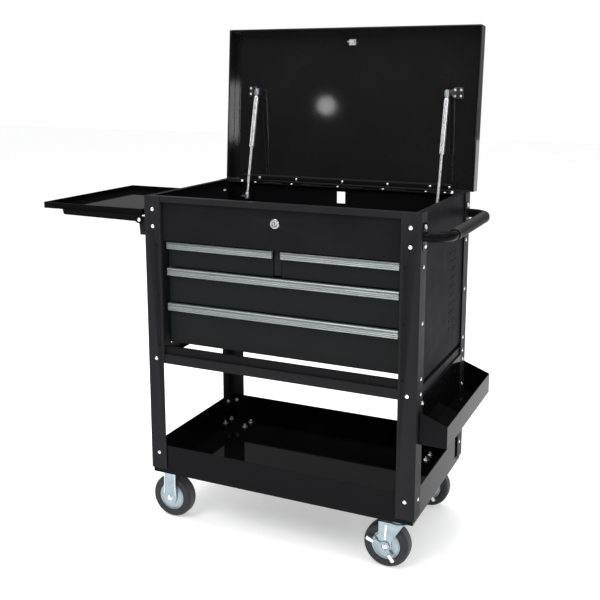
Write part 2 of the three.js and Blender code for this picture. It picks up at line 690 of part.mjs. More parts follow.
function forkLegs(x, y, topX, topHalf, top) {
  const pieces = [];
  for (const side of [-1, 1]) {
    const faces = [side * FORK_INSIDE, side * (FORK_INSIDE + FORK_SHEET)].sort((a, b) => a - b);
    pieces.push(plateXZ(legOutline(x, topX, topHalf, top), y + faces[0], y + faces[1]));
    const nut = [side * FORK_INSIDE, side * (FORK_INSIDE + 9)].sort((a, b) => a - b);
    pieces.push(bar('y', [x, WHEEL_RADIUS], y + nut[0], y + nut[1], 7.5, 6));
  }
  const half = FORK_INSIDE + 1;
  pieces.push(bar('y', [x, WHEEL_RADIUS], y - half, y + half, AXLE_RADIUS, 16));
  return pieces;
}

// The wheel: a rubber tyre on a moulded hub with a recessed web on each side.
function addWheel(name, x, y) {
  const half = TREAD_WIDTH / 2;
  const rim = WHEEL_RADIUS - 20.5;
  const tyre = [
    [rim + GAP, y - half + 2],
    [WHEEL_RADIUS - 7, y - half],
    [WHEEL_RADIUS - 2, y - half + 3],
    [WHEEL_RADIUS, y - half + 8],
    [WHEEL_RADIUS, y + half - 8],
    [WHEEL_RADIUS - 2, y + half - 3],
    [WHEEL_RADIUS - 7, y + half],
    [rim + GAP, y + half - 2],
  ];
  addPiece(`tyre_${name}`, turnedY(tyre, x, WHEEL_RADIUS, 32), RUBBER);
  const bore = AXLE_RADIUS + 0.4;
  const hub = [
    [bore, y - half - 2],
    [13, y - half - 2],
    [15, y - half + 8],
    [rim - 7, y - half + 8],
    [rim - 4, y - half + 2],
    [rim, y - half + 2],
    [rim, y + half - 2],
    [rim - 4, y + half - 2],
    [rim - 7, y + half - 8],
    [15, y + half - 8],
    [13, y + half + 2],
    [bore, y + half + 2],
  ];
  addPiece(`hub_${name}`, turnedY(hub, x, WHEEL_RADIUS, 24), ZINC);
}

function addFixedCaster(name, x, y) {
  const axleX = x - FIXED_WHEEL_SHIFT;
  const fork = join(casterPlate(x, y), ...forkLegs(axleX, y, axleX, 16, PLATE_LOW + 1));
  addPiece(`fixed_fork_${name}`, fork, ZINC);
  addWheel(name, axleX, y);
}

function addSwivelCaster(name, x, y) {
  const raceLow = PLATE_LOW - 8;
  const race = bar('z', [x, y], raceLow, PLATE_LOW + 0.5, 25, 28);
  const kingpin = bar('z', [x, y], raceLow - 8, PLATE_LOW + 0.5, 5, 16);
  addPiece(`swivel_plate_${name}`, join(casterPlate(x, y), race, kingpin), ZINC);
  const crownTop = raceLow - GAP;
  const crownLow = crownTop - 4;
  const axleX = x - CASTER_TRAIL;
  const width = FORK_INSIDE + FORK_SHEET;
  const crown = join(
    bar('z', [x, y], crownLow, crownTop, 27, 28),
    block(axleX - 17, x + 14, y - width, y + width, crownLow, crownLow + 3),
  );
  const hole = bar('z', [x, y], crownLow - 1, crownTop + 1, 5.4, 16);
  const legs = forkLegs(axleX, y, axleX + 14, 31, crownLow + 1);
  addPiece(`swivel_fork_${name}`, join(cut(crown, hole), ...legs), ZINC);
  addWheel(name, axleX, y);
  addBrake(name, axleX, y);
}

// A flat strip in the XZ plane from radius r0 to r1 along one direction.
function spoke(x, z, degrees, r0, r1, half, y0, y1) {
  const a = THREE.MathUtils.degToRad(degrees);
  const at = (r, side) => [x + r * Math.cos(a) - side * Math.sin(a), z + r * Math.sin(a) + side * Math.cos(a)];
  const outline = [
    at(r0, -half),
    at(r1, -half),
    at(r1, half),
    at(r0, half),
  ];
  return plateXZ(outline, y0, y1);
}

// The brake lever turns about the axle outside the front fork leg; each end carries a thick pad.
function addBrake(name, axleX, y) {
  const face = y - FORK_INSIDE - FORK_SHEET - 0.4;
  const sheet = 2.4;
  const pieces = [bar('y', [axleX, WHEEL_RADIUS], face - sheet, face, 13, 24)];
  for (const [degrees, reach] of [[158, 48], [-52, 40]]) {
    pieces.push(spoke(axleX, WHEEL_RADIUS, degrees, 6, reach - 2, 4, face - sheet, face));
    pieces.push(spoke(axleX, WHEEL_RADIUS, degrees, reach - 20, reach, 5, face - 9, face));
  }
  const bore = bar('y', [axleX, WHEEL_RADIUS], face - sheet - 1, face + 1, 8, 24);
  addPiece(`brake_pedal_${name}`, cut(join(...pieces), bore), ZINC);
}

function addCasters() {
  const x = HALF_W - CASTER_INSET_X;
  const y = HALF_D - CASTER_INSET_Y;
  addFixedCaster('front_left', -x, -y);
  addFixedCaster('rear_left', -x, y);
  addSwivelCaster('front_right', x, -y);
  addSwivelCaster('rear_right', x, y);
}

// ---------------------------------------------------------------- assembly

addPosts();
addSidePanels();
addBackPanel();
addFrontFrame();
addCompartmentFloor();
addDivider();
addSlideRacks();
addRails();
addTray();
const lifted = liftedGroup();
addLid(lifted);
addHinge(lifted);
addStrutBrackets(lifted);
addStruts();
addLock();
addDrawers();
addHandle();
addBin();
addShelf();
addCasters();

export default cart;
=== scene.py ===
import json
import math

import bmesh
import bpy
from mathutils import Matrix, Vector


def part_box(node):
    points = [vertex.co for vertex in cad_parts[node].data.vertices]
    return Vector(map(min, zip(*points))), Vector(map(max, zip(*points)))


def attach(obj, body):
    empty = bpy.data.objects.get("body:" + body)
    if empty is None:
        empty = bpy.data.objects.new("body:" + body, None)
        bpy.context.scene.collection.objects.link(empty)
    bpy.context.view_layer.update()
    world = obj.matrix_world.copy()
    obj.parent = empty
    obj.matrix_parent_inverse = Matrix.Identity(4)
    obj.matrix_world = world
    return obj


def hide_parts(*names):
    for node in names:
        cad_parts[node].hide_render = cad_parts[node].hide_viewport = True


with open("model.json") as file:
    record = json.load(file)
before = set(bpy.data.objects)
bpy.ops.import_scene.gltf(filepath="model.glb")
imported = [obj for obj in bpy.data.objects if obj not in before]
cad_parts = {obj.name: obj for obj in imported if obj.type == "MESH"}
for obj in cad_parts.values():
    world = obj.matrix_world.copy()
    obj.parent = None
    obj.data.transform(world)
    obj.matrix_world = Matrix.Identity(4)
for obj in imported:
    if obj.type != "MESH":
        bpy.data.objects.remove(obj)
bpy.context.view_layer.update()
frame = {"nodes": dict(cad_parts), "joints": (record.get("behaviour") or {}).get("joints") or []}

MM = 0.001
X, Y, Z = 0, 1, 2

# ------------------------------------------------------------------ sizes, in millimetres


def node_box(node):
    """Lowest and highest corner of a CAD node, in millimetres."""
    low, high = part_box(node)
    return low / MM, high / MM


POST_LOW, POST_HIGH = node_box("post_front_left")
HALF_W = -POST_LOW.x
HALF_D = -POST_LOW.y
TOP = POST_HIGH.z
TRAY_LOW, TRAY_HIGH = node_box("bottom_tray")
TRAY_FLOOR = TRAY_LOW.z + 1.6
JOINTS = {j["name"]: j for j in frame["joints"]}
HINGE = Vector(JOINTS["lid_hinge"]["pos_m"]) / MM
LID_OPEN = math.radians(JOINTS["lid_hinge"]["range_deg"][1])
BOLT_LEVELS = {"a": 833, "b": 790, "c": 743, "d": 613, "e": 482, "rail": 446, "tray": 189}
DRAWERS = ("top_left", "top_right", "middle", "bottom")

# ------------------------------------------------------------------ shader helpers


class Shader:
    """One procedural material: a Principled shader fed by noise in the frame's own coordinates."""

    def __init__(self, name, metallic=0.0, specular=0.5, coat=0.0, coat_roughness=0.05):
        self.material = bpy.data.materials.new(name)
        self.material.use_nodes = True
        self.tree = self.material.node_tree
        self.bsdf = self.tree.nodes["Principled BSDF"]
        self.bsdf.inputs["Metallic"].default_value = metallic
        self.bsdf.inputs["Specular IOR Level"].default_value = specular
        self.bsdf.inputs["Coat Weight"].default_value = coat
        self.bsdf.inputs["Coat Roughness"].default_value = coat_roughness
        self.where = self.tree.nodes.new("ShaderNodeTexCoord").outputs["Object"]
        self.normal = None

    def link(self, a, b):
        self.tree.links.new(a, b)

    def noise(self, scale, detail=3.0, stretch=None, roughness=0.55):
        where = self.where
        if stretch:
            mapping = self.tree.nodes.new("ShaderNodeMapping")
            mapping.inputs["Scale"].default_value = stretch
            self.link(where, mapping.inputs["Vector"])
            where = mapping.outputs["Vector"]
        node = self.tree.nodes.new("ShaderNodeTexNoise")
        node.inputs["Scale"].default_value = scale
        node.inputs["Detail"].default_value = detail
        node.inputs["Roughness"].default_value = roughness
        self.link(where, node.inputs["Vector"])
        return node.outputs["Fac"]

    def ramp(self, value, low, high, a, b):
        node = self.tree.nodes.new("ShaderNodeValToRGB")
        node.color_ramp.elements[0].position = low
        node.color_ramp.elements[1].position = high
        node.color_ramp.elements[0].color = (*a, 1) if hasattr(a, "__len__") else (a, a, a, 1)
        node.color_ramp.elements[1].color = (*b, 1) if hasattr(b, "__len__") else (b, b, b, 1)
        self.link(value, node.inputs["Fac"])
        return node.outputs["Color"]

    def mix(self, factor, a, b, mode="MIX"):
        node = self.tree.nodes.new("ShaderNodeMix")
        node.data_type = "RGBA"
        node.blend_type = mode
        if hasattr(factor, "node"):
            self.link(factor, node.inputs["Factor"])
        else:
            node.inputs["Factor"].default_value = factor
        for socket, value in ((node.inputs[6], a), (node.inputs[7], b)):
            if hasattr(value, "node"):
                self.link(value, socket)
            else:
                socket.default_value = (*value, 1)
        return node.outputs[2]

    def colour(self, source):
        self.link(source, self.bsdf.inputs["Base Color"])

    def roughness(self, source):
        self.link(source, self.bsdf.inputs["Roughness"])

    def bump(self, height, strength, distance_mm):
        node = self.tree.nodes.new("ShaderNodeBump")
        node.inputs["Strength"].default_value = strength
        node.inputs["Distance"].default_value = distance_mm * MM
        self.link(height, node.inputs["Height"])
        if self.normal:
            self.link(self.normal, node.inputs["Normal"])
        self.normal = node.outputs["Normal"]
        self.link(self.normal, self.bsdf.inputs["Normal"])

    def edges(self, low, high):
        """Bright where an outer edge would rub thin."""
        geometry = self.tree.nodes.new("ShaderNodeNewGeometry")
        return self.ramp(geometry.outputs["Pointiness"], low, high, 0.0, 1.0)


def tint(colour, factor):
    return tuple(c * factor for c in colour)


def enamel(name, colour, roughness, specular, peel, coat=0.0):
    """Sprayed paint: slow colour drift, fine dust, orange peel and slightly rubbed edges."""
    s = Shader(name, specular=specular, coat=coat)
    drift = s.ramp(s.noise(7.0, 4.0), 0.35, 0.7, tint(colour, 0.86), tint(colour, 1.12))
    dust = s.ramp(s.noise(160.0, 6.0, roughness=0.7), 0.56, 0.78, 0.0, 0.35)
    dusted = s.mix(dust, drift, tint(colour, 1.9))
    worn = s.mix(s.edges(0.52, 0.62), dusted, tint(colour, 2.4))
    s.colour(worn)
    s.roughness(s.ramp(s.noise(24.0, 5.0), 0.3, 0.75, roughness * 0.88, roughness * 1.15))
    s.bump(s.noise(70.0, 1.0), peel, 0.25)
    s.bump(s.noise(620.0, 2.0), peel * 1.6, 0.03)
    return s.material


def plated(name, colour, roughness, blotch, stretch=None, grain=0.12):
    """Plated or brushed metal: cloudy roughness and fine grain."""
    s = Shader(name, metallic=1.0)
    cloud = s.noise(55.0, 5.0, roughness=0.65)
    s.colour(s.ramp(cloud, 0.3, 0.72, tint(colour, 1.0 - blotch), tint(colour, 1.0 + blotch)))
    fine = s.noise(420.0, 4.0, stretch)
    s.roughness(s.ramp(fine, 0.3, 0.7, roughness * 0.75, roughness * 1.3))
    s.bump(fine, grain, 0.03)
    return s.material


def moulded(name, colour, roughness, grain, specular=0.4):
    """Rubber or moulded plastic with a fine pebble."""
    s = Shader(name, specular=specular)
    drift = s.ramp(s.noise(18.0, 5.0), 0.32, 0.7, tint(colour, 0.82), tint(colour, 1.2))
    dust = s.ramp(s.noise(210.0, 6.0, roughness=0.75), 0.52, 0.8, 0.0, 0.5)
    s.colour(s.mix(dust, drift, tint(colour, 1.8)))
    s.roughness(s.ramp(s.noise(60.0, 4.0), 0.3, 0.7, roughness * 0.88, min(1.0, roughness * 1.12)))
    s.bump(s.noise(900.0, 2.0), grain, 0.06)
    s.bump(s.noise(45.0, 3.0), grain * 0.6, 0.2)
    return s.material


MATERIALS = {
    "frame_paint": enamel("satin_black_paint", (0.0110, 0.0106, 0.0117), 0.38, 0.025, 0.08),
    "gloss_paint": enamel("gloss_black_enamel", (0.0048, 0.0045, 0.0052), 0.06, 0.035, 0.02),
    "drawer_paint": enamel("charcoal_paint", (0.0068, 0.0080, 0.0079), 0.38, 0.05, 0.08),
    "pull_aluminium": plated("brushed_aluminium", (0.285, 0.310, 0.320), 0.42, 0.04, (0.02, 1, 1), 0.08),
    "lock_chrome": plated("lock_chrome", (0.46, 0.46, 0.48), 0.30, 0.05),
    "strut_steel": plated("polished_steel", (0.80, 0.80, 0.81), 0.30, 0.03, (1, 1, 0.03)),
    "zinc_steel": plated("zinc_plate", (0.36, 0.43, 0.47), 0.36, 0.16),
    "grip_rubber": moulded("grip_vinyl", (0.0055, 0.0055, 0.0060), 0.50, 0.14, 0.3),
    "tyre_rubber": moulded("tyre_rubber", (0.022, 0.024, 0.028), 0.60, 0.22, 0.35),
}
SIDE_PAINT = enamel("side_panel_paint", (0.0100, 0.0094, 0.0110), 0.40, 0.006, 0.06)
# Painted light: the lid takes a lighter copy of the gloss black enamel, so it renders brighter than its light makes
# it.
LIT_LID_PAINT = enamel("lid_enamel_painted_light", (0.0108, 0.0106, 0.0110), 0.06, 0.42, 0.02)
# Painted shade: the shelf takes a darker copy of the gloss black enamel, so it renders darker than its light makes
# it.
SHADED_SHELF_PAINT = enamel("shelf_enamel_painted_shade", (0.0030, 0.0029, 0.0032), 0.06, 0.02, 0.02)
# Bright zinc for the fasteners and small fittings; on the caster leg ribs the same material is a painted highlight.
ZINC_AND_PAINTED_HIGHLIGHT = plated("bright_zinc_and_painted_highlight", (0.90, 0.91, 0.92), 0.30, 0.05)
TREAD_RUBBER = moulded("tread_rubber", (0.070, 0.076, 0.088), 0.7, 0.25, 0.3)
BRACKET_STEEL = plated("bracket_steel", (0.10, 0.10, 0.105), 0.30, 0.12)

# ------------------------------------------------------------------ mesh helpers


def rounded(points, radius, steps=4):
    """A closed outline with its corners rounded; radius is one number or one per corner."""
    out = []
    count = len(points)
    radii = radius if hasattr(radius, "__len__") else [radius] * count
    for i in range(count):
        p = Vector(points[i])
        if radii[i] <= 0:
            out.append(tuple(p))
            continue
        before = (Vector(points[i - 1]) - p).normalized()
        after = (Vector(points[(i + 1) % count]) - p).normalized()
        half = before.angle(after) / 2
        reach = radii[i] / math.tan(half)
        centre = p + (before + after).normalized() * (radii[i] / math.sin(half))
        a, b = p + before * reach - centre, p + after * reach - centre
        turn = math.atan2(a.x * b.y - a.y * b.x, a.dot(b))
        start = math.atan2(a.y, a.x)
        for k in range(steps + 1):
            angle = start + turn * k / steps
            out.append((centre.x + radii[i] * math.cos(angle), centre.y + radii[i] * math.sin(angle)))
    return out


def folded(points, thickness, side=1, radius=1.0, steps=4):
    """Outline of a sheet folded along points, laid to the left of the line (side 1) or right (-1)."""
    path, back = [], []
    last = len(points) - 1
    for i, point in enumerate(points):
        p = Vector(point)
        if i in (0, last):
            d = (Vector(points[1]) - p) if i == 0 else (p - Vector(points[last - 1]))
            d.normalize()
            path.append(p)
            back.append(p + Vector((-d.y, d.x)) * side * thickness)
            continue
        a = (p - Vector(points[i - 1])).normalized()
        b = (Vector(points[i + 1]) - p).normalized()
        turn = math.atan2(a.x * b.y - a.y * b.x, a.dot(b))
        sign = 1 if turn > 0 else -1
        inner = sign == side
        r_path = radius + thickness if inner else radius
        r_back = radius if inner else radius + thickness
        start = p - a * r_path * math.tan(abs(turn) / 2)
        centre = start + Vector((-a.y, a.x)) * sign * r_path
        first = math.atan2((start - centre).y, (start - centre).x)
        for k in range(steps + 1):
            angle = first + turn * k / steps
            ray = Vector((math.cos(angle), math.sin(angle)))
            path.append(centre + ray * r_path)
            back.append(centre + ray * r_back)
    return [tuple(p) for p in path + back[::-1]]


def rectangle(x0, x1, y0, y1):
    return [(x0, y0), (x1, y0), (x1, y1), (x0, y1)]


def place(axis, along, a, b):
    """A 3-D point from a distance along an axis and the two other coordinates in X, Y, Z order."""
    if axis == X:
        return Vector((along, a, b))
    if axis == Y:
        return Vector((a, along, b))
    return Vector((a, b, along))


class Piece:
    """A mesh gathered from closed solids, in millimetres, in the CAD frame."""

    def __init__(self):
        self.bm = bmesh.new()

    def block(self, low, high):
        self.prism(rectangle(low[0], high[0], low[1], high[1]), Z, low[2], high[2])
        return self

    def prism(self, outline, axis, low, high):
        ends = []
        for along in (low, high):
            ends.append([self.bm.verts.new(place(axis, along, *p)) for p in outline])
        count = len(outline)
        for i in range(count):
            j = (i + 1) % count
            self.bm.faces.new((ends[0][i], ends[0][j], ends[1][j], ends[1][i]))
        self.bm.faces.new(ends[0][::-1])
        self.bm.faces.new(ends[1])
        return self

    def turned(self, profile, axis, centre, steps=32, start=0.0):
        """Turns [radius, height] points about an axis through centre; ends on the axis or closes."""
        rings = []
        for radius, height in profile:
            if radius < 1e-6:
                rings.append([self.bm.verts.new(self._around(axis, centre, height, 0, 0))])
                continue
            ring = []
            for k in range(steps):
                angle = start + 2 * math.pi * k / steps
                ring.append(self.bm.verts.new(self._around(axis, centre, height, radius, angle)))
            rings.append(ring)
        pairs = list(zip(rings, rings[1:]))
        if len(rings[0]) > 1 and len(rings[-1]) > 1:
            pairs.append((rings[-1], rings[0]))
        for a, b in pairs:
            for k in range(steps):
                n = (k + 1) % steps
                if len(a) == 1 and len(b) == 1:
                    break
                if len(a) == 1:
                    self.bm.faces.new((a[0], b[n], b[k]))
                elif len(b) == 1:
                    self.bm.faces.new((a[k], a[n], b[0]))
                else:
                    self.bm.faces.new((a[k], a[n], b[n], b[k]))
        return self

    @staticmethod
    def _around(axis, centre, height, radius, angle):
        c = Vector(centre)
        u, v = radius * math.cos(angle), radius * math.sin(angle)
        if axis == X:
            return c + Vector((height, u, v))
        if axis == Y:
            return c + Vector((u, height, v))
        return c + Vector((u, v, height))

    def tube(self, points, radius, sides=24):
        """A round bar along points that lie in one horizontal plane."""
        rings = []
        last = len(points) - 1
        for i, p in enumerate(points):
            d = (Vector(points[min(i + 1, last)]) - Vector(points[max(i - 1, 0)])).normalized()
            across = Vector((-d.y, d.x, 0))
            ring = []
            for k in range(sides):
                angle = 2 * math.pi * k / sides
                offset = across * math.cos(angle) + Vector((0, 0, 1)) * math.sin(angle)
                ring.append(self.bm.verts.new(Vector(p) + offset * radius))
            rings.append(ring)
        for a, b in zip(rings, rings[1:]):
            for k in range(sides):
                n = (k + 1) % sides
                self.bm.faces.new((a[k], a[n], b[n], b[k]))
        self.bm.faces.new(rings[0])
        self.bm.faces.new(rings[-1][::-1])
        return self

    def copy(self, node):
        """The CAD node's own solid, with its flat faces merged."""
        mesh = frame["nodes"][node].data
        first = len(self.bm.verts)
        self.bm.from_mesh(mesh)
        self.bm.verts.ensure_lookup_table()
        fresh = self.bm.verts[first:]
        bmesh.ops.scale(self.bm, vec=(1 / MM,) * 3, verts=fresh)
        bmesh.ops.remove_doubles(self.bm, verts=fresh, dist=0.002)
        bmesh.ops.dissolve_limit(
            self.bm, angle_limit=math.radians(1), verts=list(self.bm.verts), edges=list(self.bm.edges))
        return self

    def turn(self, centre, axis, angle):
        """Turns everything gathered so far."""
        bmesh.ops.rotate(
            self.bm, cent=Vector(centre), matrix=Matrix.Rotation(angle, 3, axis), verts=list(self.bm.verts))
        return self

    def open_lid(self):
        """Takes pieces drawn on the shut lid to its open place."""
        return self.turn(HINGE, "X", -LID_OPEN)

    def object(self, name):
        bmesh.ops.recalc_face_normals(self.bm, faces=list(self.bm.faces))
        mesh = bpy.data.meshes.new(name)
        bmesh.ops.scale(self.bm, vec=(MM,) * 3, verts=list(self.bm.verts))
        self.bm.to_mesh(mesh)
        self.bm.free()
        piece = bpy.data.objects.new(name, mesh)
        bpy.context.scene.collection.objects.link(piece)
        return piece


def apply_modifiers(piece):
    """Writes the modified shape into the mesh."""
    bpy.context.view_layer.update()
    shaped = piece.evaluated_get(bpy.context.evaluated_depsgraph_get())
    mesh = bpy.data.meshes.new_from_object(shaped)
    mesh.name = piece.name
    piece.modifiers.clear()
    piece.data = mesh


def cut_away(piece, cutter):
    """Takes the cutter's solids out of the piece."""
    modifier = piece.modifiers.new("cut", "BOOLEAN")
    modifier.operation = "DIFFERENCE"
    modifier.solver = "EXACT"
    modifier.object = cutter
    apply_modifiers(piece)
    bpy.data.objects.remove(cutter)


def finish_piece(piece, body, slot, material=None, replaces=(), bevel=0.0, steps=2, smooth=35, angle=32):
    """Rounds the edges, shades, paints and hangs a piece on its body."""
    if bevel:
        modifier = piece.modifiers.new("edges", "BEVEL")
        modifier.width = bevel * MM
        modifier.segments = steps
        modifier.limit_method = "ANGLE"
        modifier.angle_limit = math.radians(angle)
        modifier.use_clamp_overlap = True
        modifier.miter_outer = "MITER_ARC"
        apply_modifiers(piece)
    piece.data.materials.clear()
    piece.data.materials.append(material or MATERIALS[slot])
    for face in piece.data.polygons:
        face.use_smooth = True
        face.material_index = 0
    piece.data.set_sharp_from_angle(angle=math.radians(smooth))
    weighted = piece.modifiers.new("shading", "WEIGHTED_NORMAL")
    weighted.keep_sharp = True
    apply_modifiers(piece)
    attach(piece, body)
    if replaces:
        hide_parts(*replaces)
    return piece


def refined(node, body, slot, bevel, material=None, name=None, cutter=None, **options):
    """A CAD node's shape with its edges rounded."""
    piece = Piece().copy(node).object(name or node + "_skin")
    if cutter:
        cut_away(piece, cutter)
    return finish_piece(piece, body, slot, material, (node,), bevel, **options)


# ------------------------------------------------------------------ fasteners

DOME = [(0, 0), (5.4, 0), (5.4, 0.5), (5.1, 1.3), (4.4, 2.1), (3.2, 2.8), (2.3, 3.05), (2.0, 2.3), (0, 2.3)]
SMALL_DOME = [(r * 0.68, h * 0.7) for r, h in DOME]
NUT = [(0, 0), (8.2, 0), (8.2, 0.9), (5.6, 1.0), (5.6, 5.2), (5.0, 5.6), (3.0, 5.6), (3.0, 8.8), (2.5, 9.3),
       (0, 9.3)]


def flipped(profile, sign):
    return profile if sign > 0 else [(r, -h) for r, h in profile]


def fastener(piece, profile, axis, sign, centre, steps=20):
    """A turned head or nut standing off a face, its height along an axis."""
    piece.turned(flipped(profile, sign), axis, centre, steps)


def nut(piece, axis, sign, centre, scale=1.0):
    """A washer, a six-sided nut and the end of its bolt."""
    sized = [(r * scale, h * scale) for r, h in NUT]
    piece.turned(flipped([(0, 0), sized[1], sized[2], (0, sized[2][1])], sign), axis, centre, 20)
    low, high = sized[2][1], sized[5][1]
    flats, corner = sized[4][0], sized[5][0]
    hexagon = [(0, low), (flats, low), (flats, high - 0.5), (corner, high), (0, high)]
    piece.turned(flipped(hexagon, sign), axis, centre, 6, 0.3)
    shank, tip = sized[7], sized[8]
    thread = [(0, high - 1), (shank[0], high - 1), shank, tip, (0, tip[1])]
    piece.turned(flipped(thread, sign), axis, centre, 12)


def add_frame_bolts():
    bolts, nuts = Piece(), Piece()
    face_x = HALF_W - 22
    inside_y = HALF_D - 27
    for side in (-1, 1):
        for end in (-1, 1):
            for key in ("a", "b", "rail", "tray"):
                z = BOLT_LEVELS[key]
                fastener(bolts, DOME, Y, end, (side * face_x, end * HALF_D, z))
            for key, z in BOLT_LEVELS.items():
                hidden = side > 0 and key in ("a", "b")
                stand = 3.6 if hidden else 0.0
                if side < 0 and key in ("a", "b"):
                    continue
                fastener(bolts, DOME, X, side, (side * (HALF_W + stand), end * inside_y, z))
            nut(nuts, X, -side, (side * (TRAY_HIGH.x - 1.6), end * inside_y, BOLT_LEVELS["tray"]), 0.8)
            nut(nuts, Y, -end, (side * face_x, end * (TRAY_HIGH.y - 1.6), BOLT_LEVELS["tray"]), 0.8)
            for key in ("a", "b"):
                z = BOLT_LEVELS[key]
                nut(nuts, X, -side, (side * (HALF_W - 3.6), end * inside_y, z), 0.75)
    finish_piece(bolts.object("frame_bolts"), "cabinet", "zinc_steel", ZINC_AND_PAINTED_HIGHLIGHT)
    finish_piece(nuts.object("frame_nuts"), "cabinet", "zinc_steel", ZINC_AND_PAINTED_HIGHLIGHT)


def add_caster_studs():
    studs = Piece()
    for x in (-312, 312):
        for y in (-171, 171):
            for dx in (-33, 33):
                for dy in (-19, 19):
                    nut(studs, Z, 1, (x + dx, y + dy, TRAY_FLOOR), 1.0)
    finish_piece(studs.object("caster_nuts"), "cabinet", "zinc_steel", ZINC_AND_PAINTED_HIGHLIGHT)


# ------------------------------------------------------------------ frame and panels


def add_posts():
    for across, side in (("left", -1), ("right", 1)):
        for along, end in (("front", -1), ("rear", 1)):
            low, high = node_box(f"post_{along}_{across}")
            x, y = side * HALF_W, end * HALF_D
            path = [(x - side * 44, y), (x, y), (x, y - end * 44)]
            turn = 1 if side * end < 0 else -1
            piece = Piece().prism(folded(path, 1.8, -turn, 1.2), Z, low.z, high.z)
            post = piece.object(f"post_{along}_{across}_skin")
            if end < 0:
                cutter = Piece()
                for key in ("c", "d", "e"):
                    centre = (x - side * 33.7, y, BOLT_LEVELS[key])
                    cutter.turned([(0, -4), (2.7, -4), (2.7, 4), (0, 4)], Y, centre, 16)
                cut_away(post, cutter.object("holes"))
            finish_piece(post, "cabinet", "frame_paint", None, (f"post_{along}_{across}",), 0.3, 1)


PEG_PITCH = 21.8
PEG_COLUMNS = (50, 71.8, 93.6)


def add_side_panels():
    for across, side in (("left", -1), ("right", 1)):
        cutter = Piece()
        for y in PEG_COLUMNS:
            for row in range(10):
                centre = (side * (HALF_W - 3), y, 732 - row * PEG_PITCH)
                cutter.turned([(0, -5), (2.6, -5), (2.6, 5), (0, 5)], X, centre, 12)
        refined(f"side_panel_{across}", "cabinet", "frame_paint", 0.6, SIDE_PAINT,
                cutter=cutter.object("peg_holes"))


def add_plain_sheets():
    for node in ("rail_front", "rail_rear", "rail_left", "rail_right", "drawer_divider"):
        refined(node, "cabinet", "frame_paint", 0.5)
    refined("front_frame", "cabinet", "frame_paint", 0.55)
    refined("back_panel", "cabinet", "gloss_paint", 0.5)
    refined("compartment_floor", "cabinet", "gloss_paint", 0.4)
    refined("bottom_tray", "cabinet", "gloss_paint", 0.7)
    for across in ("left", "right"):
        refined(f"slide_rack_{across}", "cabinet", "zinc_steel", 0.5)


# ------------------------------------------------------------------ lid, hinge and struts

LID_HALF = HALF_W + 8.5
LID_RIM = TOP + 0.7
LID_SKIRT = 38
LID_BACK = HINGE.y - 1
LID_FRONT = LID_BACK - 427
LID_SHEET = 1.5


def add_lid():
    lid = Piece()
    x0, x1, y0, y1 = -LID_HALF, LID_HALF, LID_FRONT, LID_BACK
    top = LID_RIM + LID_SKIRT
    fold = 3.0
    rows = []
    steps = 5
    corner = 2.2
    for k in range(steps + 1):
        angle = math.pi / 2 * k / steps
        inset = fold * (1 - math.cos(angle))
        rows.append((inset, top - fold + fold * math.sin(angle)))
    rings = []
    outline_steps = 3

    def ring(inset, z, radius):
        points = rounded(rectangle(x0 + inset, x1 - inset, y0 + inset, y1 - inset), radius, outline_steps)
        return [lid.bm.verts.new((p[0], p[1], z)) for p in points]

    rings.append(ring(0, LID_RIM, corner))
    for inset, z in rows:
        rings.append(ring(inset, z, max(corner - inset, 0.4)))
    for inset, z in reversed(rows):
        rings.append(ring(LID_SHEET + inset * 0.5, min(z, top - LID_SHEET), 0.6))
    rings.append(ring(LID_SHEET, LID_RIM, 0.8))
    outer_cap = rings[len(rows)]
    inner_cap = rings[len(rows) + 1]
    for a, b in zip(rings, rings[1:]):
        if a is outer_cap and b is inner_cap:
            continue
        count = len(a)
        for k in range(count):
            n = (k + 1) % count
            lid.bm.faces.new((a[k], a[n], b[n], b[k]))
    lid.bm.faces.new(outer_cap)
    lid.bm.faces.new(inner_cap)
    first, last = rings[0], rings[-1]
    for k in range(len(first)):
        n = (k + 1) % len(first)
        lid.bm.faces.new((first[k], last[k], last[n], first[n]))
    half = node_box("hinge_leaf_lid")[1].x
    lid.block((-half, y1 - 18, LID_RIM), (half, y1 - 1, LID_RIM + LID_SHEET))
    lid.open_lid()
    # The lid shell and its hem wear the lighter copy of the gloss enamel: painted light.
    finish_piece(lid.object("lid_shell"), "lid", "gloss_paint", LIT_LID_PAINT, ("lid",), 0.0)

    hem = Piece()
    depth = 6.5
    for a, b, c, d in (
        (x0 + LID_SHEET, x1 - LID_SHEET, y0 + LID_SHEET, y0 + LID_SHEET + 1.2),
        (x0 + LID_SHEET, x0 + LID_SHEET + 1.2, y0 + 4, y1 - 22),
        (x1 - LID_SHEET - 1.2, x1 - LID_SHEET, y0 + 4, y1 - 22),
    ):
        hem.block((a, c, LID_RIM + 0.2), (b, d, LID_RIM + depth))
    hem.open_lid()
    finish_piece(hem.object("lid_hem"), "lid", "gloss_paint", LIT_LID_PAINT, (), 0.45)

    striker = Piece()
    y = HINGE.y - 392
    ceiling = top - LID_SHEET
    striker.block((-10, y - 8, ceiling - 2), (10, y + 8, ceiling))
    striker.block((-9, y - 1.5, ceiling - 16), (9, y + 1.5, ceiling - 1))
    striker.open_lid()
    finish_piece(striker.object("lid_striker"), "lid", "zinc_steel", ZINC_AND_PAINTED_HIGHLIGHT, (), 0.6)
    screws = Piece()
    for x in (-5, 5):
        fastener(screws, SMALL_DOME, Z, -1, (x, y + 5, ceiling - 2))
    screws.open_lid()
    finish_piece(screws.object("striker_screws"), "lid", "zinc_steel", ZINC_AND_PAINTED_HIGHLIGHT)


HINGE_SCREWS = (-258, -143, -3, 129, 248, 300)


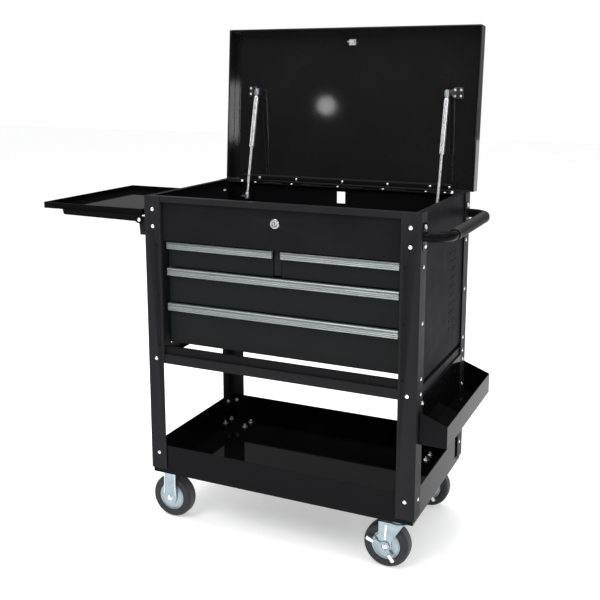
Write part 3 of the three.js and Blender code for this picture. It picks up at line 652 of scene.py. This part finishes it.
def add_hinge():
    refined("hinge_leaf_body", "cabinet", "frame_paint", 0.25, MATERIALS["gloss_paint"])
    refined("hinge_leaf_lid", "lid", "frame_paint", 0.25, MATERIALS["gloss_paint"])
    leaf_top = HINGE.z - 4.4 + 1.2
    fixed, moving = Piece(), Piece()
    for x in HINGE_SCREWS:
        fastener(fixed, SMALL_DOME, Z, 1, (x - 6, HINGE.y - 9.6, leaf_top))
        fastener(moving, SMALL_DOME, Z, -1, (x + 2, HINGE.y - 9.6, HINGE.z + 4.4 - 1.2))
    moving.open_lid()
    finish_piece(fixed.object("hinge_screws_body"), "cabinet", "zinc_steel", ZINC_AND_PAINTED_HIGHLIGHT)
    finish_piece(moving.object("hinge_screws_lid"), "lid", "zinc_steel", ZINC_AND_PAINTED_HIGHLIGHT)


STRUT_LENGTH = 305.66  # eye to eye with the lid open


def add_struts():
    for across, side in (("left", -1), ("right", 1)):
        swing = JOINTS[f"strut_{across}_swing"]
        foot = Vector(swing["pos_m"]) / MM
        axis = Vector(JOINTS[f"strut_{across}_slide"]["axis"])
        lean = -math.atan2(axis.y, axis.z)
        length = STRUT_LENGTH
        head = foot + axis * length
        x = foot.x

        def upright(profile, steps=32):
            piece = Piece().turned(profile, Z, (x, 0, 0), steps)
            return piece

        tube = upright([
            (0, -163), (4.35, -163), (6.2, -162.6), (7.0, -161.4), (7.2, -159.5), (7.2, -19),
            (6.9, -17), (5.6, -15.2), (3.6, -14.4), (3.4, -9), (0, -9)])
        for height in (-158.5, -24.0):
            tube.turned([(0, height), (7.3, height), (7.3, height - 1.4), (0, height - 1.4)], Z, (x, 0, 0))
        rod = upright([(0, -length + 6), (3.9, -length + 6), (3.9, -152), (0, -152)], 28)
        caps = Piece()
        caps.turned([(0, 7.5), (5.6, 7.3), (7.4, 5.4), (7.6, 1), (7.6, -9), (6.4, -12), (5.2, -13),
                     (5.2, -16),
                     (0, -16)], Z, (x, 0, 0), 24)
        low_caps = Piece()
        low_caps.turned([(0, -length - 6.6), (5.2, -length - 6.4), (6.6, -length - 4.6), (6.8, -length),
                         (6.8, -length + 9),
                         (5.8, -length + 12), (4.9, -length + 13), (4.7, -length + 18), (0, -length + 18)],
                        Z, (x, 0, 0), 24)
        for piece, body, name, node, material in (
            (tube, f"strut_cylinder_{across}", "gas_tube", f"strut_cylinder_{across}", None),
            (caps, f"strut_cylinder_{across}", "tube_end", None, MATERIALS["zinc_steel"]),
            (rod, f"strut_rod_{across}", "gas_rod", f"strut_rod_{across}", None),
            (low_caps, f"strut_rod_{across}", "rod_end", None, MATERIALS["zinc_steel"]),
        ):
            piece.turn((x, 0, 0), "X", lean)
            bmesh.ops.translate(piece.bm, vec=(0, head.y, head.z), verts=list(piece.bm.verts))
            finish_piece(piece.object(f"{name}_{across}"), body, "strut_steel", material,
                         (node,) if node else (), 0.0)

        # The lid's bracket stands outboard of the strut's head; the wall's bracket holds the foot.
        angle = LID_OPEN
        dy, dz = head.y - HINGE.y, head.z - HINGE.z
        shut_y = HINGE.y + dy * math.cos(angle) - dz * math.sin(angle)
        shut_z = HINGE.z + dy * math.sin(angle) + dz * math.cos(angle)
        ceiling = LID_RIM + LID_SKIRT - LID_SHEET
        ear = side * (abs(x) + 11)
        outer = side * (abs(x) + 37)
        bracket = Piece()
        plate = rounded(rectangle(min(ear, outer), max(ear, outer), shut_y - 15, shut_y + 15), 3.0, 4)
        bracket.prism(plate, Z, ceiling - 2.2, ceiling - 0.1)
        web = rounded([(shut_y - 11, ceiling - 1), (shut_y + 11, ceiling - 1), (shut_y + 7.5, shut_z - 7),
                       (shut_y - 7.5, shut_z - 7)], [0.5, 0.5, 5, 5], 5)
        bracket.prism(web, X, min(ear, ear + side * 2.0), max(ear, ear + side * 2.0))
        bracket.turned(flipped([(0, -2.5), (5.2, -2.5), (5.2, 0), (0, 0)], side), X, (ear, shut_y, shut_z), 20)
        bracket.open_lid()
        finish_piece(bracket.object(f"lid_bracket_{across}"), "lid", "zinc_steel", BRACKET_STEEL,
                     (f"strut_bracket_lid_{across}",), 0.4)
        rivets = Piece()
        for dx in (14, 30):
            for dyy in (-8, 8):
                centre = (side * (abs(x) + dx - 3 + 4), shut_y + dyy, ceiling - 2.2)
                fastener(rivets, SMALL_DOME, Z, -1, centre)
        rivets.open_lid()
        finish_piece(rivets.object(f"lid_bracket_rivets_{across}"), "lid", "zinc_steel", ZINC_AND_PAINTED_HIGHLIGHT)
        wall = node_box(f"strut_bracket_body_{across}")[1].y
        holder = Piece()
        near, far = sorted((ear, outer - side * 9))
        plate = rounded(rectangle(near, far, foot.z - 16, foot.z + 16), 3, 4)
        holder.prism(plate, Y, wall - 2.2, wall)
        web = rounded([(wall - 0.5, foot.z + 11), (wall - 0.5, foot.z - 11), (foot.y - 5, foot.z - 7),
                       (foot.y - 5, foot.z + 7)], [0.5, 0.5, 4, 4], 5)
        holder.prism(web, X, min(ear, ear + side * 2.0), max(ear, ear + side * 2.0))
        holder.turned(flipped([(0, -5), (4.4, -5), (4.4, 4.5), (0, 4.5)], side), X, (ear, foot.y, foot.z), 20)
        finish_piece(holder.object(f"wall_bracket_{across}"), "cabinet", "zinc_steel", BRACKET_STEEL,
                     (f"strut_bracket_body_{across}",), 0.4)


# ------------------------------------------------------------------ lock


def add_lock():
    low, high = node_box("lock_housing")
    x, z = (low.x + high.x) / 2, (low.z + high.z) / 2
    front, back = low.y, high.y
    ring = Piece().turned([
        (6.4, front + 0.6), (7.6, front), (9.6, front - 0.2), (11.2, front + 0.5), (12.0, front + 1.6),
        (12.0, front + 2.6), (9.0, front + 2.6), (9.0, back), (6.4, back)], Y, (x, 0, z), 48)
    finish_piece(ring.object("lock_ring"), "cabinet", "lock_chrome", None, ("lock_housing",), 0.0)
    core = [(0, front + 1.2), (5.2, front + 1.2), (6.0, front + 1.8), (6.0, back + 1.5), (0, back + 1.5)]
    plug = Piece().turned(core, Y, (x, 0, z), 36).object("lock_core")
    slot = Piece().block((x - 0.9, front - 2, z - 3.8), (x + 0.9, front + 4.5, z + 3.8)).object("key_slot")
    cut_away(plug, slot)
    finish_piece(plug, "lock_plug", "lock_chrome", None, ("lock_plug",), 0.2, 1)
    cam_high = node_box("lock_plug")[1]
    outline = rounded(rectangle(x - 8, cam_high.x, z - 7, z + 7), 4.5, 5)
    cam = Piece().prism(outline, Y, cam_high.y - 2.0, cam_high.y)
    nut(cam, Y, 1, (x, cam_high.y - 0.2, z), 0.6)
    finish_piece(cam.object("lock_cam"), "lock_plug", "zinc_steel", None, (), 0.3)


# ------------------------------------------------------------------ drawers


def pull_outline(front, back, top, bottom):
    """A lipped aluminium extrusion: a rounded crown over three flutes."""
    wall = 2.4
    crown = rounded([(back, top), (front, top), (front, top - 12)], [0, 5.6, 0], 7)
    flutes = []
    face_top, face_low = top - 7.2, bottom + 0.4
    pitch = (face_top - face_low) / 3
    for k in range(3):
        z = face_top - k * pitch
        flutes += [(front + 1.6, z), (front + 1.6, z - 1.0), (front + 0.5, z - 1.5), (front, z - 2.3),
                   (front, z - pitch + 1.0), (front + 0.5, z - pitch + 0.3)]
    inner = [(front + 1.2, bottom), (front + wall, bottom), (front + wall, top - wall - 2.6),
             (front + wall + 2.6, top - wall), (back - 1.8, top - wall), (back - 1.8, bottom + 4),
             (back, bottom + 4)]
    return crown[:-1] + flutes + inner


def add_drawers():
    for name in DRAWERS:
        refined(f"drawer_{name}", f"drawer_{name}", "drawer_paint", 0.55)
        low, high = node_box(f"pull_{name}")
        outline = pull_outline(low.y, high.y, high.z, low.z)
        pull = Piece().prism(outline, X, low.x, high.x)
        finish_piece(pull.object(f"drawer_pull_{name}"), f"drawer_{name}", "pull_aluminium", None,
                     (f"pull_{name}",), 0.0, smooth=28)


# ------------------------------------------------------------------ handle, bin and shelf


def add_handle():
    grip_low, grip_high = node_box("handle_grip")
    z = (grip_low.z + grip_high.z) / 2
    reach = (grip_low.x + grip_high.x) / 2
    span = 190
    radius = 11.4
    bend = 46
    wall = HALF_W + 0.3
    points = [Vector((wall + 1.5, -span, z))]
    for end in (-1, 1):
        arc = []
        for k in range(13):
            a = math.pi / 2 * k / 12
            out, along = bend * math.sin(a), bend * math.cos(a)
            arc.append(Vector((reach - bend + out, end * (span - bend + along), z)))
        points += arc if end < 0 else arc[::-1]
    points.append(Vector((wall + 1.5, span, z)))
    tube = Piece().tube(points, radius, 32)
    finish_piece(tube.object("handle_tube"), "cabinet", "gloss_paint", None, ("push_handle",), 0.0)
    plates = Piece()
    for end in (-1, 1):
        y = end * (span - 3)
        plates.prism(rounded(rectangle(y - 14, y + 14, z - 31, z + 31), 6, 5), X, wall, wall + 3)
        plates.turned([(radius, 2.8), (radius + 2.4, 2.9), (radius + 1.0, 4.2), (radius - 0.4, 5.6)], X,
                      (wall, end * span, z), 32)
    finish_piece(plates.object("handle_plates"), "cabinet", "gloss_paint", None, (), 0.5)
    sleeve = Piece()
    g = 14.4
    profile = [(radius + 0.05, grip_low.y), (g - 1.2, grip_low.y), (g, grip_low.y + 1.4), (g, grip_low.y + 7),
               (g - 0.7, grip_low.y + 8.4)]
    y = grip_low.y + 12
    while y < grip_high.y - 12:
        profile += [(g - 0.7, y), (g - 0.1, y + 0.8), (g - 0.1, y + 2.6), (g - 0.7, y + 3.4)]
        y += 6.0
    profile += [(g - 0.7, grip_high.y - 8.4), (g, grip_high.y - 7), (g, grip_high.y - 1.4), (g - 1.2, grip_high.y),
                (radius + 0.05, grip_high.y)]
    sleeve.turned(profile, Y, (reach, 0, z), 40)
    finish_piece(sleeve.object("grip_sleeve"), "cabinet", "grip_rubber", None, ("handle_grip",), 0.0)


def add_bin():
    refined("side_bin", "cabinet", "gloss_paint", 0.6)
    low, high = node_box("side_bin")
    screws = Piece()
    for y in (low.y + 25, high.y - 25):
        for z in (low.z + 22, high.z - 18):
            fastener(screws, DOME, X, 1, (low.x + 1.4, y, z))
    finish_piece(screws.object("bin_screws"), "cabinet", "zinc_steel", ZINC_AND_PAINTED_HIGHLIGHT)


def add_shelf():
    # The shelf wears the darker copy of the gloss enamel: painted shade.
    refined("side_shelf", "side_shelf", "gloss_paint", 0.5, SHADED_SHELF_PAINT)
    pivot = Vector(JOINTS["shelf_hinge"]["pos_m"]) / MM
    for along in ("front", "rear"):
        refined(f"shelf_bracket_{along}", "cabinet", "frame_paint", 0.4)
    heads = Piece()
    for along, end in (("front", -1), ("rear", 1)):
        low, high = node_box(f"shelf_bracket_{along}")
        face = low.y if end < 0 else high.y
        fastener(heads, [(r * 0.9, h * 0.7) for r, h in DOME], Y, end, (pivot.x, face, pivot.z))
    finish_piece(heads.object("shelf_pivot_heads"), "cabinet", "zinc_steel", ZINC_AND_PAINTED_HIGHLIGHT)
    low, high = node_box("side_shelf")
    latch = Piece()
    x = high.x - 62
    floor = high.z - 16 + 1.4
    latch.prism(rounded(rectangle(x - 24, x + 24, high.y - 46, high.y - 8), 4, 4), Z, floor, floor + 2)
    latch.block((x - 16, high.y - 30, floor + 1.6), (x + 16, high.y - 18, floor + 9))
    finish_piece(latch.object("shelf_latch"), "side_shelf", "zinc_steel", ZINC_AND_PAINTED_HIGHLIGHT, (), 0.8)


# ------------------------------------------------------------------ casters


def wheel_profile(r, half):
    """Tyre section: flat tread with rounded shoulders and a moulded side step."""
    rim = r - 20.3
    one = [(rim, half - 1.8), (rim + 1.5, half - 0.6), (r - 9.5, half - 0.2), (r - 8.6, half - 0.9),
           (r - 7.6, half - 0.2), (r - 5.2, half - 0.6), (r - 3.0, half - 2.0), (r - 1.3, half - 4.4),
           (r - 0.3, half - 7.4), (r, half - 10.5)]
    return one + [(a, -b) for a, b in reversed(one)]


def hub_profile(rim, half):
    one = [(rim, half - 3.2), (rim - 0.9, half - 1.6), (rim - 2.6, half - 1.2), (rim - 4.6, half - 2.2),
           (rim - 6.6, half - 1.4), (27.0, half - 0.2), (22.0, half + 0.9), (16.0, half + 1.6), (12.0, half + 1.9),
           (4.45, half + 1.9)]
    return one + [(a, -b) for a, b in reversed(one)]


def add_wheel(name):
    low, high = node_box(f"tyre_{name}")
    centre = (low + high) / 2
    r = (high.z - low.z) / 2
    half = (high.y - low.y) / 2
    tyre = Piece().turned(wheel_profile(r - 0.25, half), Y, centre, 72)
    finish_piece(tyre.object(f"tyre_{name}_rubber"), f"wheel_{name}", "tyre_rubber", None, (f"tyre_{name}",), 0.0,
                 smooth=50)
    edge = half - 6.2
    band = [(r - 3, edge), (r - 1.0, edge), (r - 0.4, edge - 0.8), (r, edge - 3.4), (r, -edge + 3.4),
            (r - 0.4, -edge + 0.8), (r - 1.0, -edge), (r - 3, -edge)]
    tread = Piece().turned(band, Y, centre, 72)
    finish_piece(tread.object(f"tread_{name}"), f"wheel_{name}", "tyre_rubber", TREAD_RUBBER, (), 0.0, smooth=50)
    hub = Piece().turned(hub_profile(r - 20.6, half), Y, centre, 56)
    finish_piece(hub.object(f"hub_{name}_disc"), f"wheel_{name}", "zinc_steel", None, (f"hub_{name}",), 0.0)


def leg_outline(x, z, top_low, top_high, top, waist, width):
    return rounded([
        (top_low, top), (x - waist, z + 17), (x - width, z), (x - width * 0.66, z - 17), (x + width * 0.66, z - 17),
        (x + width, z), (x + waist, z + 17), (top_high, top)], [0, 16, 14, 11, 11, 14, 16, 0], 5)


def add_axle(piece, centre, body_half):
    for sign in (-1, 1):
        washer = [(0, body_half - 3), (7.0, body_half - 3), (7.0, body_half + 0.9), (0, body_half + 0.9)]
        piece.turned(flipped(washer, sign), Y, centre, 24)
        head = [(0, body_half + 0.7), (5.6, body_half + 0.7), (5.6, body_half + 4.6), (4.9, body_half + 5.4),
                (0, body_half + 5.4)]
        piece.turned(flipped(head, sign), Y, centre, 6, 0.35)
    end = body_half + 1
    piece.turned([(0, -end), (3.95, -end), (3.95, end), (0, end)], Y, centre, 20)


def add_fixed_caster(name):
    low, high = node_box(f"fixed_fork_{name}")
    wheel_low, wheel_high = node_box(f"tyre_{name}")
    wheel = (wheel_low + wheel_high) / 2
    y = (low.y + high.y) / 2
    x = (low.x + high.x) / 2
    plate = Piece().prism(rounded(rectangle(low.x, high.x, y - 30, y + 30), 6, 5), Z, high.z - 3, high.z)
    painted_highlight_ribs = Piece()
    web = rounded(rectangle(wheel.x - 19, wheel.x + 19, y - 23.5, y + 23.5), 3, 4)
    plate.prism(web, Z, high.z - 5.6, high.z - 2.5)
    for side in (-1, 1):
        a, b = sorted((y + side * 21, y + side * 23.6))
        outline = leg_outline(wheel.x, wheel.z, wheel.x - 16.5, wheel.x + 16.5, high.z - 3, 18.5, 19.5)
        plate.prism(outline, Y, a, b)
        for edge in (-1, 1):
            rib = rounded([(wheel.x + edge * 15.6, high.z - 4), (wheel.x + edge * 13.8, high.z - 4),
                           (wheel.x + edge * 16.2, wheel.z + 10), (wheel.x + edge * 18.0, wheel.z + 10)], 0, 2)
            c, d = sorted((y + side * 23.4, y + side * 26.2))
            painted_highlight_ribs.prism(rib, Y, c, d)
    finish_piece(plate.object(f"fixed_yoke_{name}"), "cabinet", "zinc_steel", None,
                 (f"fixed_fork_{name}",), 0.5)
    # The ribs down the leg edges are real shape, but their bright zinc is a painted highlight along those edges.
    finish_piece(painted_highlight_ribs.object(f"fixed_yoke_painted_highlight_edges_{name}"), "cabinet", "zinc_steel", ZINC_AND_PAINTED_HIGHLIGHT, (), 0.35)
    axle = Piece()
    add_axle(axle, (wheel.x, y, wheel.z), 23.6)
    finish_piece(axle.object(f"fixed_axle_{name}"), "cabinet", "zinc_steel", ZINC_AND_PAINTED_HIGHLIGHT, (), 0.25)
    bolts = Piece()
    for dx in (-33, 33):
        for dy in (-19, 19):
            fastener(bolts, [(r, h) for r, h in DOME], Z, -1, (x + dx, y + dy, high.z - 3))
    finish_piece(bolts.object(f"fixed_plate_bolts_{name}"), "cabinet", "zinc_steel", ZINC_AND_PAINTED_HIGHLIGHT)
    add_wheel(name)


def add_brake(name, wheel):
    face = node_box(f"brake_pedal_{name}")[1].y
    washer = [(8.0, face - 2.4), (13, face - 2.4), (13, face), (8.0, face)]
    lever = Piece().turned(washer, Y, (wheel.x, 0, wheel.z), 36)
    pads = Piece()
    for degrees, reach in ((158, 48), (-52, 40)):
        angle = math.radians(degrees)
        along = Vector((math.cos(angle), math.sin(angle)))
        across = Vector((-math.sin(angle), math.cos(angle)))
        hub = Vector((wheel.x, wheel.z))

        def strip(r0, r1, half0, half1, radii):
            corners = [hub + along * r0 - across * half0, hub + along * r1 - across * half1,
                       hub + along * r1 + across * half1, hub + along * r0 + across * half0]
            return rounded([tuple(c) for c in corners], radii, 4)

        lever.prism(strip(9.5, reach - 3, 5.0, 3.6, [0, 1, 1, 0]), Y, face - 2.3, face - 0.1)
        pads.prism(strip(reach - 20, reach, 4.0, 5.0, [1.5, 2.5, 2.5, 1.5]), Y, face - 9.0, face - 0.4)
    finish_piece(lever.object(f"brake_lever_{name}"), f"brake_{name}", "zinc_steel", None,
                 (f"brake_pedal_{name}",), 0.4)
    finish_piece(pads.object(f"brake_pads_{name}"), f"brake_{name}", "zinc_steel", ZINC_AND_PAINTED_HIGHLIGHT, (), 0.8)


def add_swivel_caster(name):
    low, high = node_box(f"swivel_plate_{name}")
    crown = node_box(f"swivel_fork_{name}")[1].z
    wheel_low, wheel_high = node_box(f"tyre_{name}")
    wheel = (wheel_low + wheel_high) / 2
    x, y = (low.x + high.x) / 2, (low.y + high.y) / 2
    plate = Piece().prism(rounded(rectangle(low.x, high.x, low.y, high.y), 6, 5), Z, high.z - 3, high.z)
    race = high.z - 11
    plate.turned([(0, high.z - 2.6), (27, high.z - 2.6), (26.6, high.z - 5.5), (25.4, high.z - 8.6),
                  (24.5, race), (0, race)],
                 Z, (x, y, 0), 48)
    plate.turned([(0, race + 1), (5, race + 1), (5, race - 6), (0, race - 6)], Z, (x, y, 0), 20)
    nut(plate, Z, -1, (x, y, race - 4.6), 0.75)
    for dx in (-33, 33):
        for dy in (-21, 21):
            fastener(plate, DOME, Z, -1, (x + dx, y + dy, high.z - 3))
    finish_piece(plate.object(f"swivel_top_{name}"), "cabinet", "zinc_steel", None,
                 (f"swivel_plate_{name}",), 0.4)

    yoke = Piece()
    yoke.turned([(6.2, crown - 0.1), (27, crown - 0.1), (27.6, crown - 1.6), (27.0, crown - 4),
                 (6.2, crown - 4)],
                Z, (x, y, 0), 48)
    outline = rounded(rectangle(wheel.x - 17, x + 12, y - 23.5, y + 23.5), 5, 5)
    web = Piece().prism(outline, Z, crown - 4.2, crown - 1.6).object(f"swivel_web_{name}")
    bore = [(0, crown - 9), (6.2, crown - 9), (6.2, crown + 3), (0, crown + 3)]
    cut_away(web, Piece().turned(bore, Z, (x, y, 0), 24).object("hole"))
    finish_piece(web, f"swivel_{name}", "zinc_steel", None, (), 0.45)
    painted_highlight_ribs = Piece()
    for side in (-1, 1):
        a, b = sorted((y + side * 21, y + side * 23.6))
        outline = leg_outline(wheel.x, wheel.z, wheel.x - 17, wheel.x + 45, crown - 2, 16.5, 16.5)
        yoke.prism(outline, Y, a, b)
        c, d = sorted((y + side * 23.4, y + side * 25.0))
        rib = rounded([(wheel.x + 5, crown - 8), (wheel.x + 0.5, crown - 8), (wheel.x - 2, wheel.z + 17),
                       (wheel.x + 2.5, wheel.z + 17)], 1.2, 3)
        painted_highlight_ribs.prism(rib, Y, c, d)
    finish_piece(yoke.object(f"swivel_yoke_{name}"), f"swivel_{name}", "zinc_steel", None,
                 (f"swivel_fork_{name}",), 0.45)
    # The rib on each leg is real shape, but its bright zinc is a painted highlight down the leg.
    finish_piece(painted_highlight_ribs.object(f"swivel_painted_highlight_rib_{name}"), f"swivel_{name}", "zinc_steel", ZINC_AND_PAINTED_HIGHLIGHT, (), 0.35)
    axle = Piece()
    add_axle(axle, (wheel.x, y, wheel.z), 23.6)
    finish_piece(axle.object(f"swivel_axle_{name}"), f"swivel_{name}", "zinc_steel", ZINC_AND_PAINTED_HIGHLIGHT, (), 0.25)
    add_brake(name, wheel)
    add_wheel(name)


# ------------------------------------------------------------------ stage

add_posts()
add_side_panels()
add_plain_sheets()
add_frame_bolts()
add_caster_studs()
add_lid()
add_hinge()
add_struts()
add_lock()
add_drawers()
add_handle()
add_bin()
add_shelf()
for name in ("front_left", "rear_left"):
    add_fixed_caster(name)
for name in ("front_right", "rear_right"):
    add_swivel_caster(name)


def add_floor():
    mesh = bpy.data.meshes.new("floor")
    reach = 14.0
    corners = [(-reach, -reach, 0), (reach, -reach, 0), (reach, reach, 0), (-reach, reach, 0)]
    mesh.from_pydata(corners, [], [(0, 1, 2, 3)])
    floor = bpy.data.objects.new("floor", mesh)
    bpy.context.scene.collection.objects.link(floor)
    s = Shader("pale_floor", specular=0.1)
    s.colour(s.ramp(s.noise(3.0, 2.0), 0.3, 0.7, (0.86, 0.86, 0.87), (0.90, 0.90, 0.90)))
    s.bsdf.inputs["Roughness"].default_value = 0.8
    s.bsdf.inputs["Emission Color"].default_value = (1, 1, 1, 1)
    s.bsdf.inputs["Emission Strength"].default_value = 0.42
    mesh.materials.append(s.material)


def add_world():
    """White backdrop for the eye; for light and reflections bright above and behind, dim in front."""
    world = bpy.data.worlds.new("studio")
    bpy.context.scene.world = world
    world.use_nodes = True
    tree = world.node_tree
    tree.nodes.clear()
    new = tree.nodes.new
    link = tree.links.new
    out = new("ShaderNodeOutputWorld")
    seen = new("ShaderNodeBackground")
    seen.inputs["Strength"].default_value = 1.0
    seen.inputs["Color"].default_value = (1, 1, 1, 1)
    around = new("ShaderNodeBackground")
    where = new("ShaderNodeTexCoord").outputs["Generated"]
    slope = new("ShaderNodeVectorMath")
    slope.operation = "DOT_PRODUCT"
    slope.inputs[1].default_value = (0.0, 0.22, 0.95)
    link(where, slope.inputs[0])
    ramp = new("ShaderNodeValToRGB")
    ramp.color_ramp.elements[0].position = 0.05
    ramp.color_ramp.elements[0].color = (0.055, 0.058, 0.062, 1)
    ramp.color_ramp.elements[1].position = 0.9
    ramp.color_ramp.elements[1].color = (1.0, 1.0, 1.0, 1)
    link(slope.outputs["Value"], ramp.inputs["Fac"])
    link(ramp.outputs["Color"], around.inputs["Color"])
    around.inputs["Strength"].default_value = 0.9
    path = new("ShaderNodeLightPath")
    mix = new("ShaderNodeMixShader")
    link(path.outputs["Is Camera Ray"], mix.inputs["Fac"])
    link(around.outputs["Background"], mix.inputs[1])
    link(seen.outputs["Background"], mix.inputs[2])
    link(mix.outputs["Shader"], out.inputs["Surface"])


def add_light(name, location, target, size, power, size_y=None, shape="RECTANGLE"):
    data = bpy.data.lights.new(name, "AREA")
    data.energy = power
    data.shape = shape
    data.size = size
    data.size_y = size_y or size
    light = bpy.data.objects.new(name, data)
    light.location = location
    light.rotation_euler = (Vector(target) - Vector(location)).to_track_quat("-Z", "Y").to_euler()
    bpy.context.scene.collection.objects.link(light)
    return light


def add_camera():
    data = bpy.data.cameras.new("camera")
    camera = bpy.data.objects.new("camera", data)
    bpy.context.scene.collection.objects.link(camera)
    pitch, heading, focal, shift = -0.18262, -0.43200, 896.1, -0.10
    camera.location = (0.92394, -2.06558, 1.16266)
    level = math.cos(pitch)
    forward = Vector((math.sin(heading) * level, math.cos(heading) * level, math.sin(pitch)))
    camera.rotation_euler = forward.to_track_quat("-Z", "Y").to_euler()
    data.sensor_width = 36
    data.lens = focal / 600 * 36
    data.shift_y = shift
    data.clip_end = 60
    bpy.context.scene.camera = camera
    bpy.context.scene.view_settings.view_transform = "Standard"


add_floor()
add_world()
add_light("top_softbox", (0.1, 0.2, 3.6), (0, 0, 0.6), 3.2, 85)
add_light("front_softbox", (-1.2, -3.6, 4.6), (0, 0, 0.6), 2.4, 110)
add_light("right_softbox", (3.8, -1.6, 2.6), (0.2, 0, 0.6), 1.4, 26)
add_light("left_softbox", (-3.4, 0.4, 1.9), (-0.2, 0, 0.7), 1.6, 30)
add_light("strip_softbox", (1.43, -2.95, 1.38), (-0.36, 0.25, 1.22), 0.20, 12.0, 0.40)
add_light("spot_softbox", (-1.29, -2.57, 1.39), (0, 0.24, 1.13), 0.11, 0.26, shape="DISK")
add_camera()
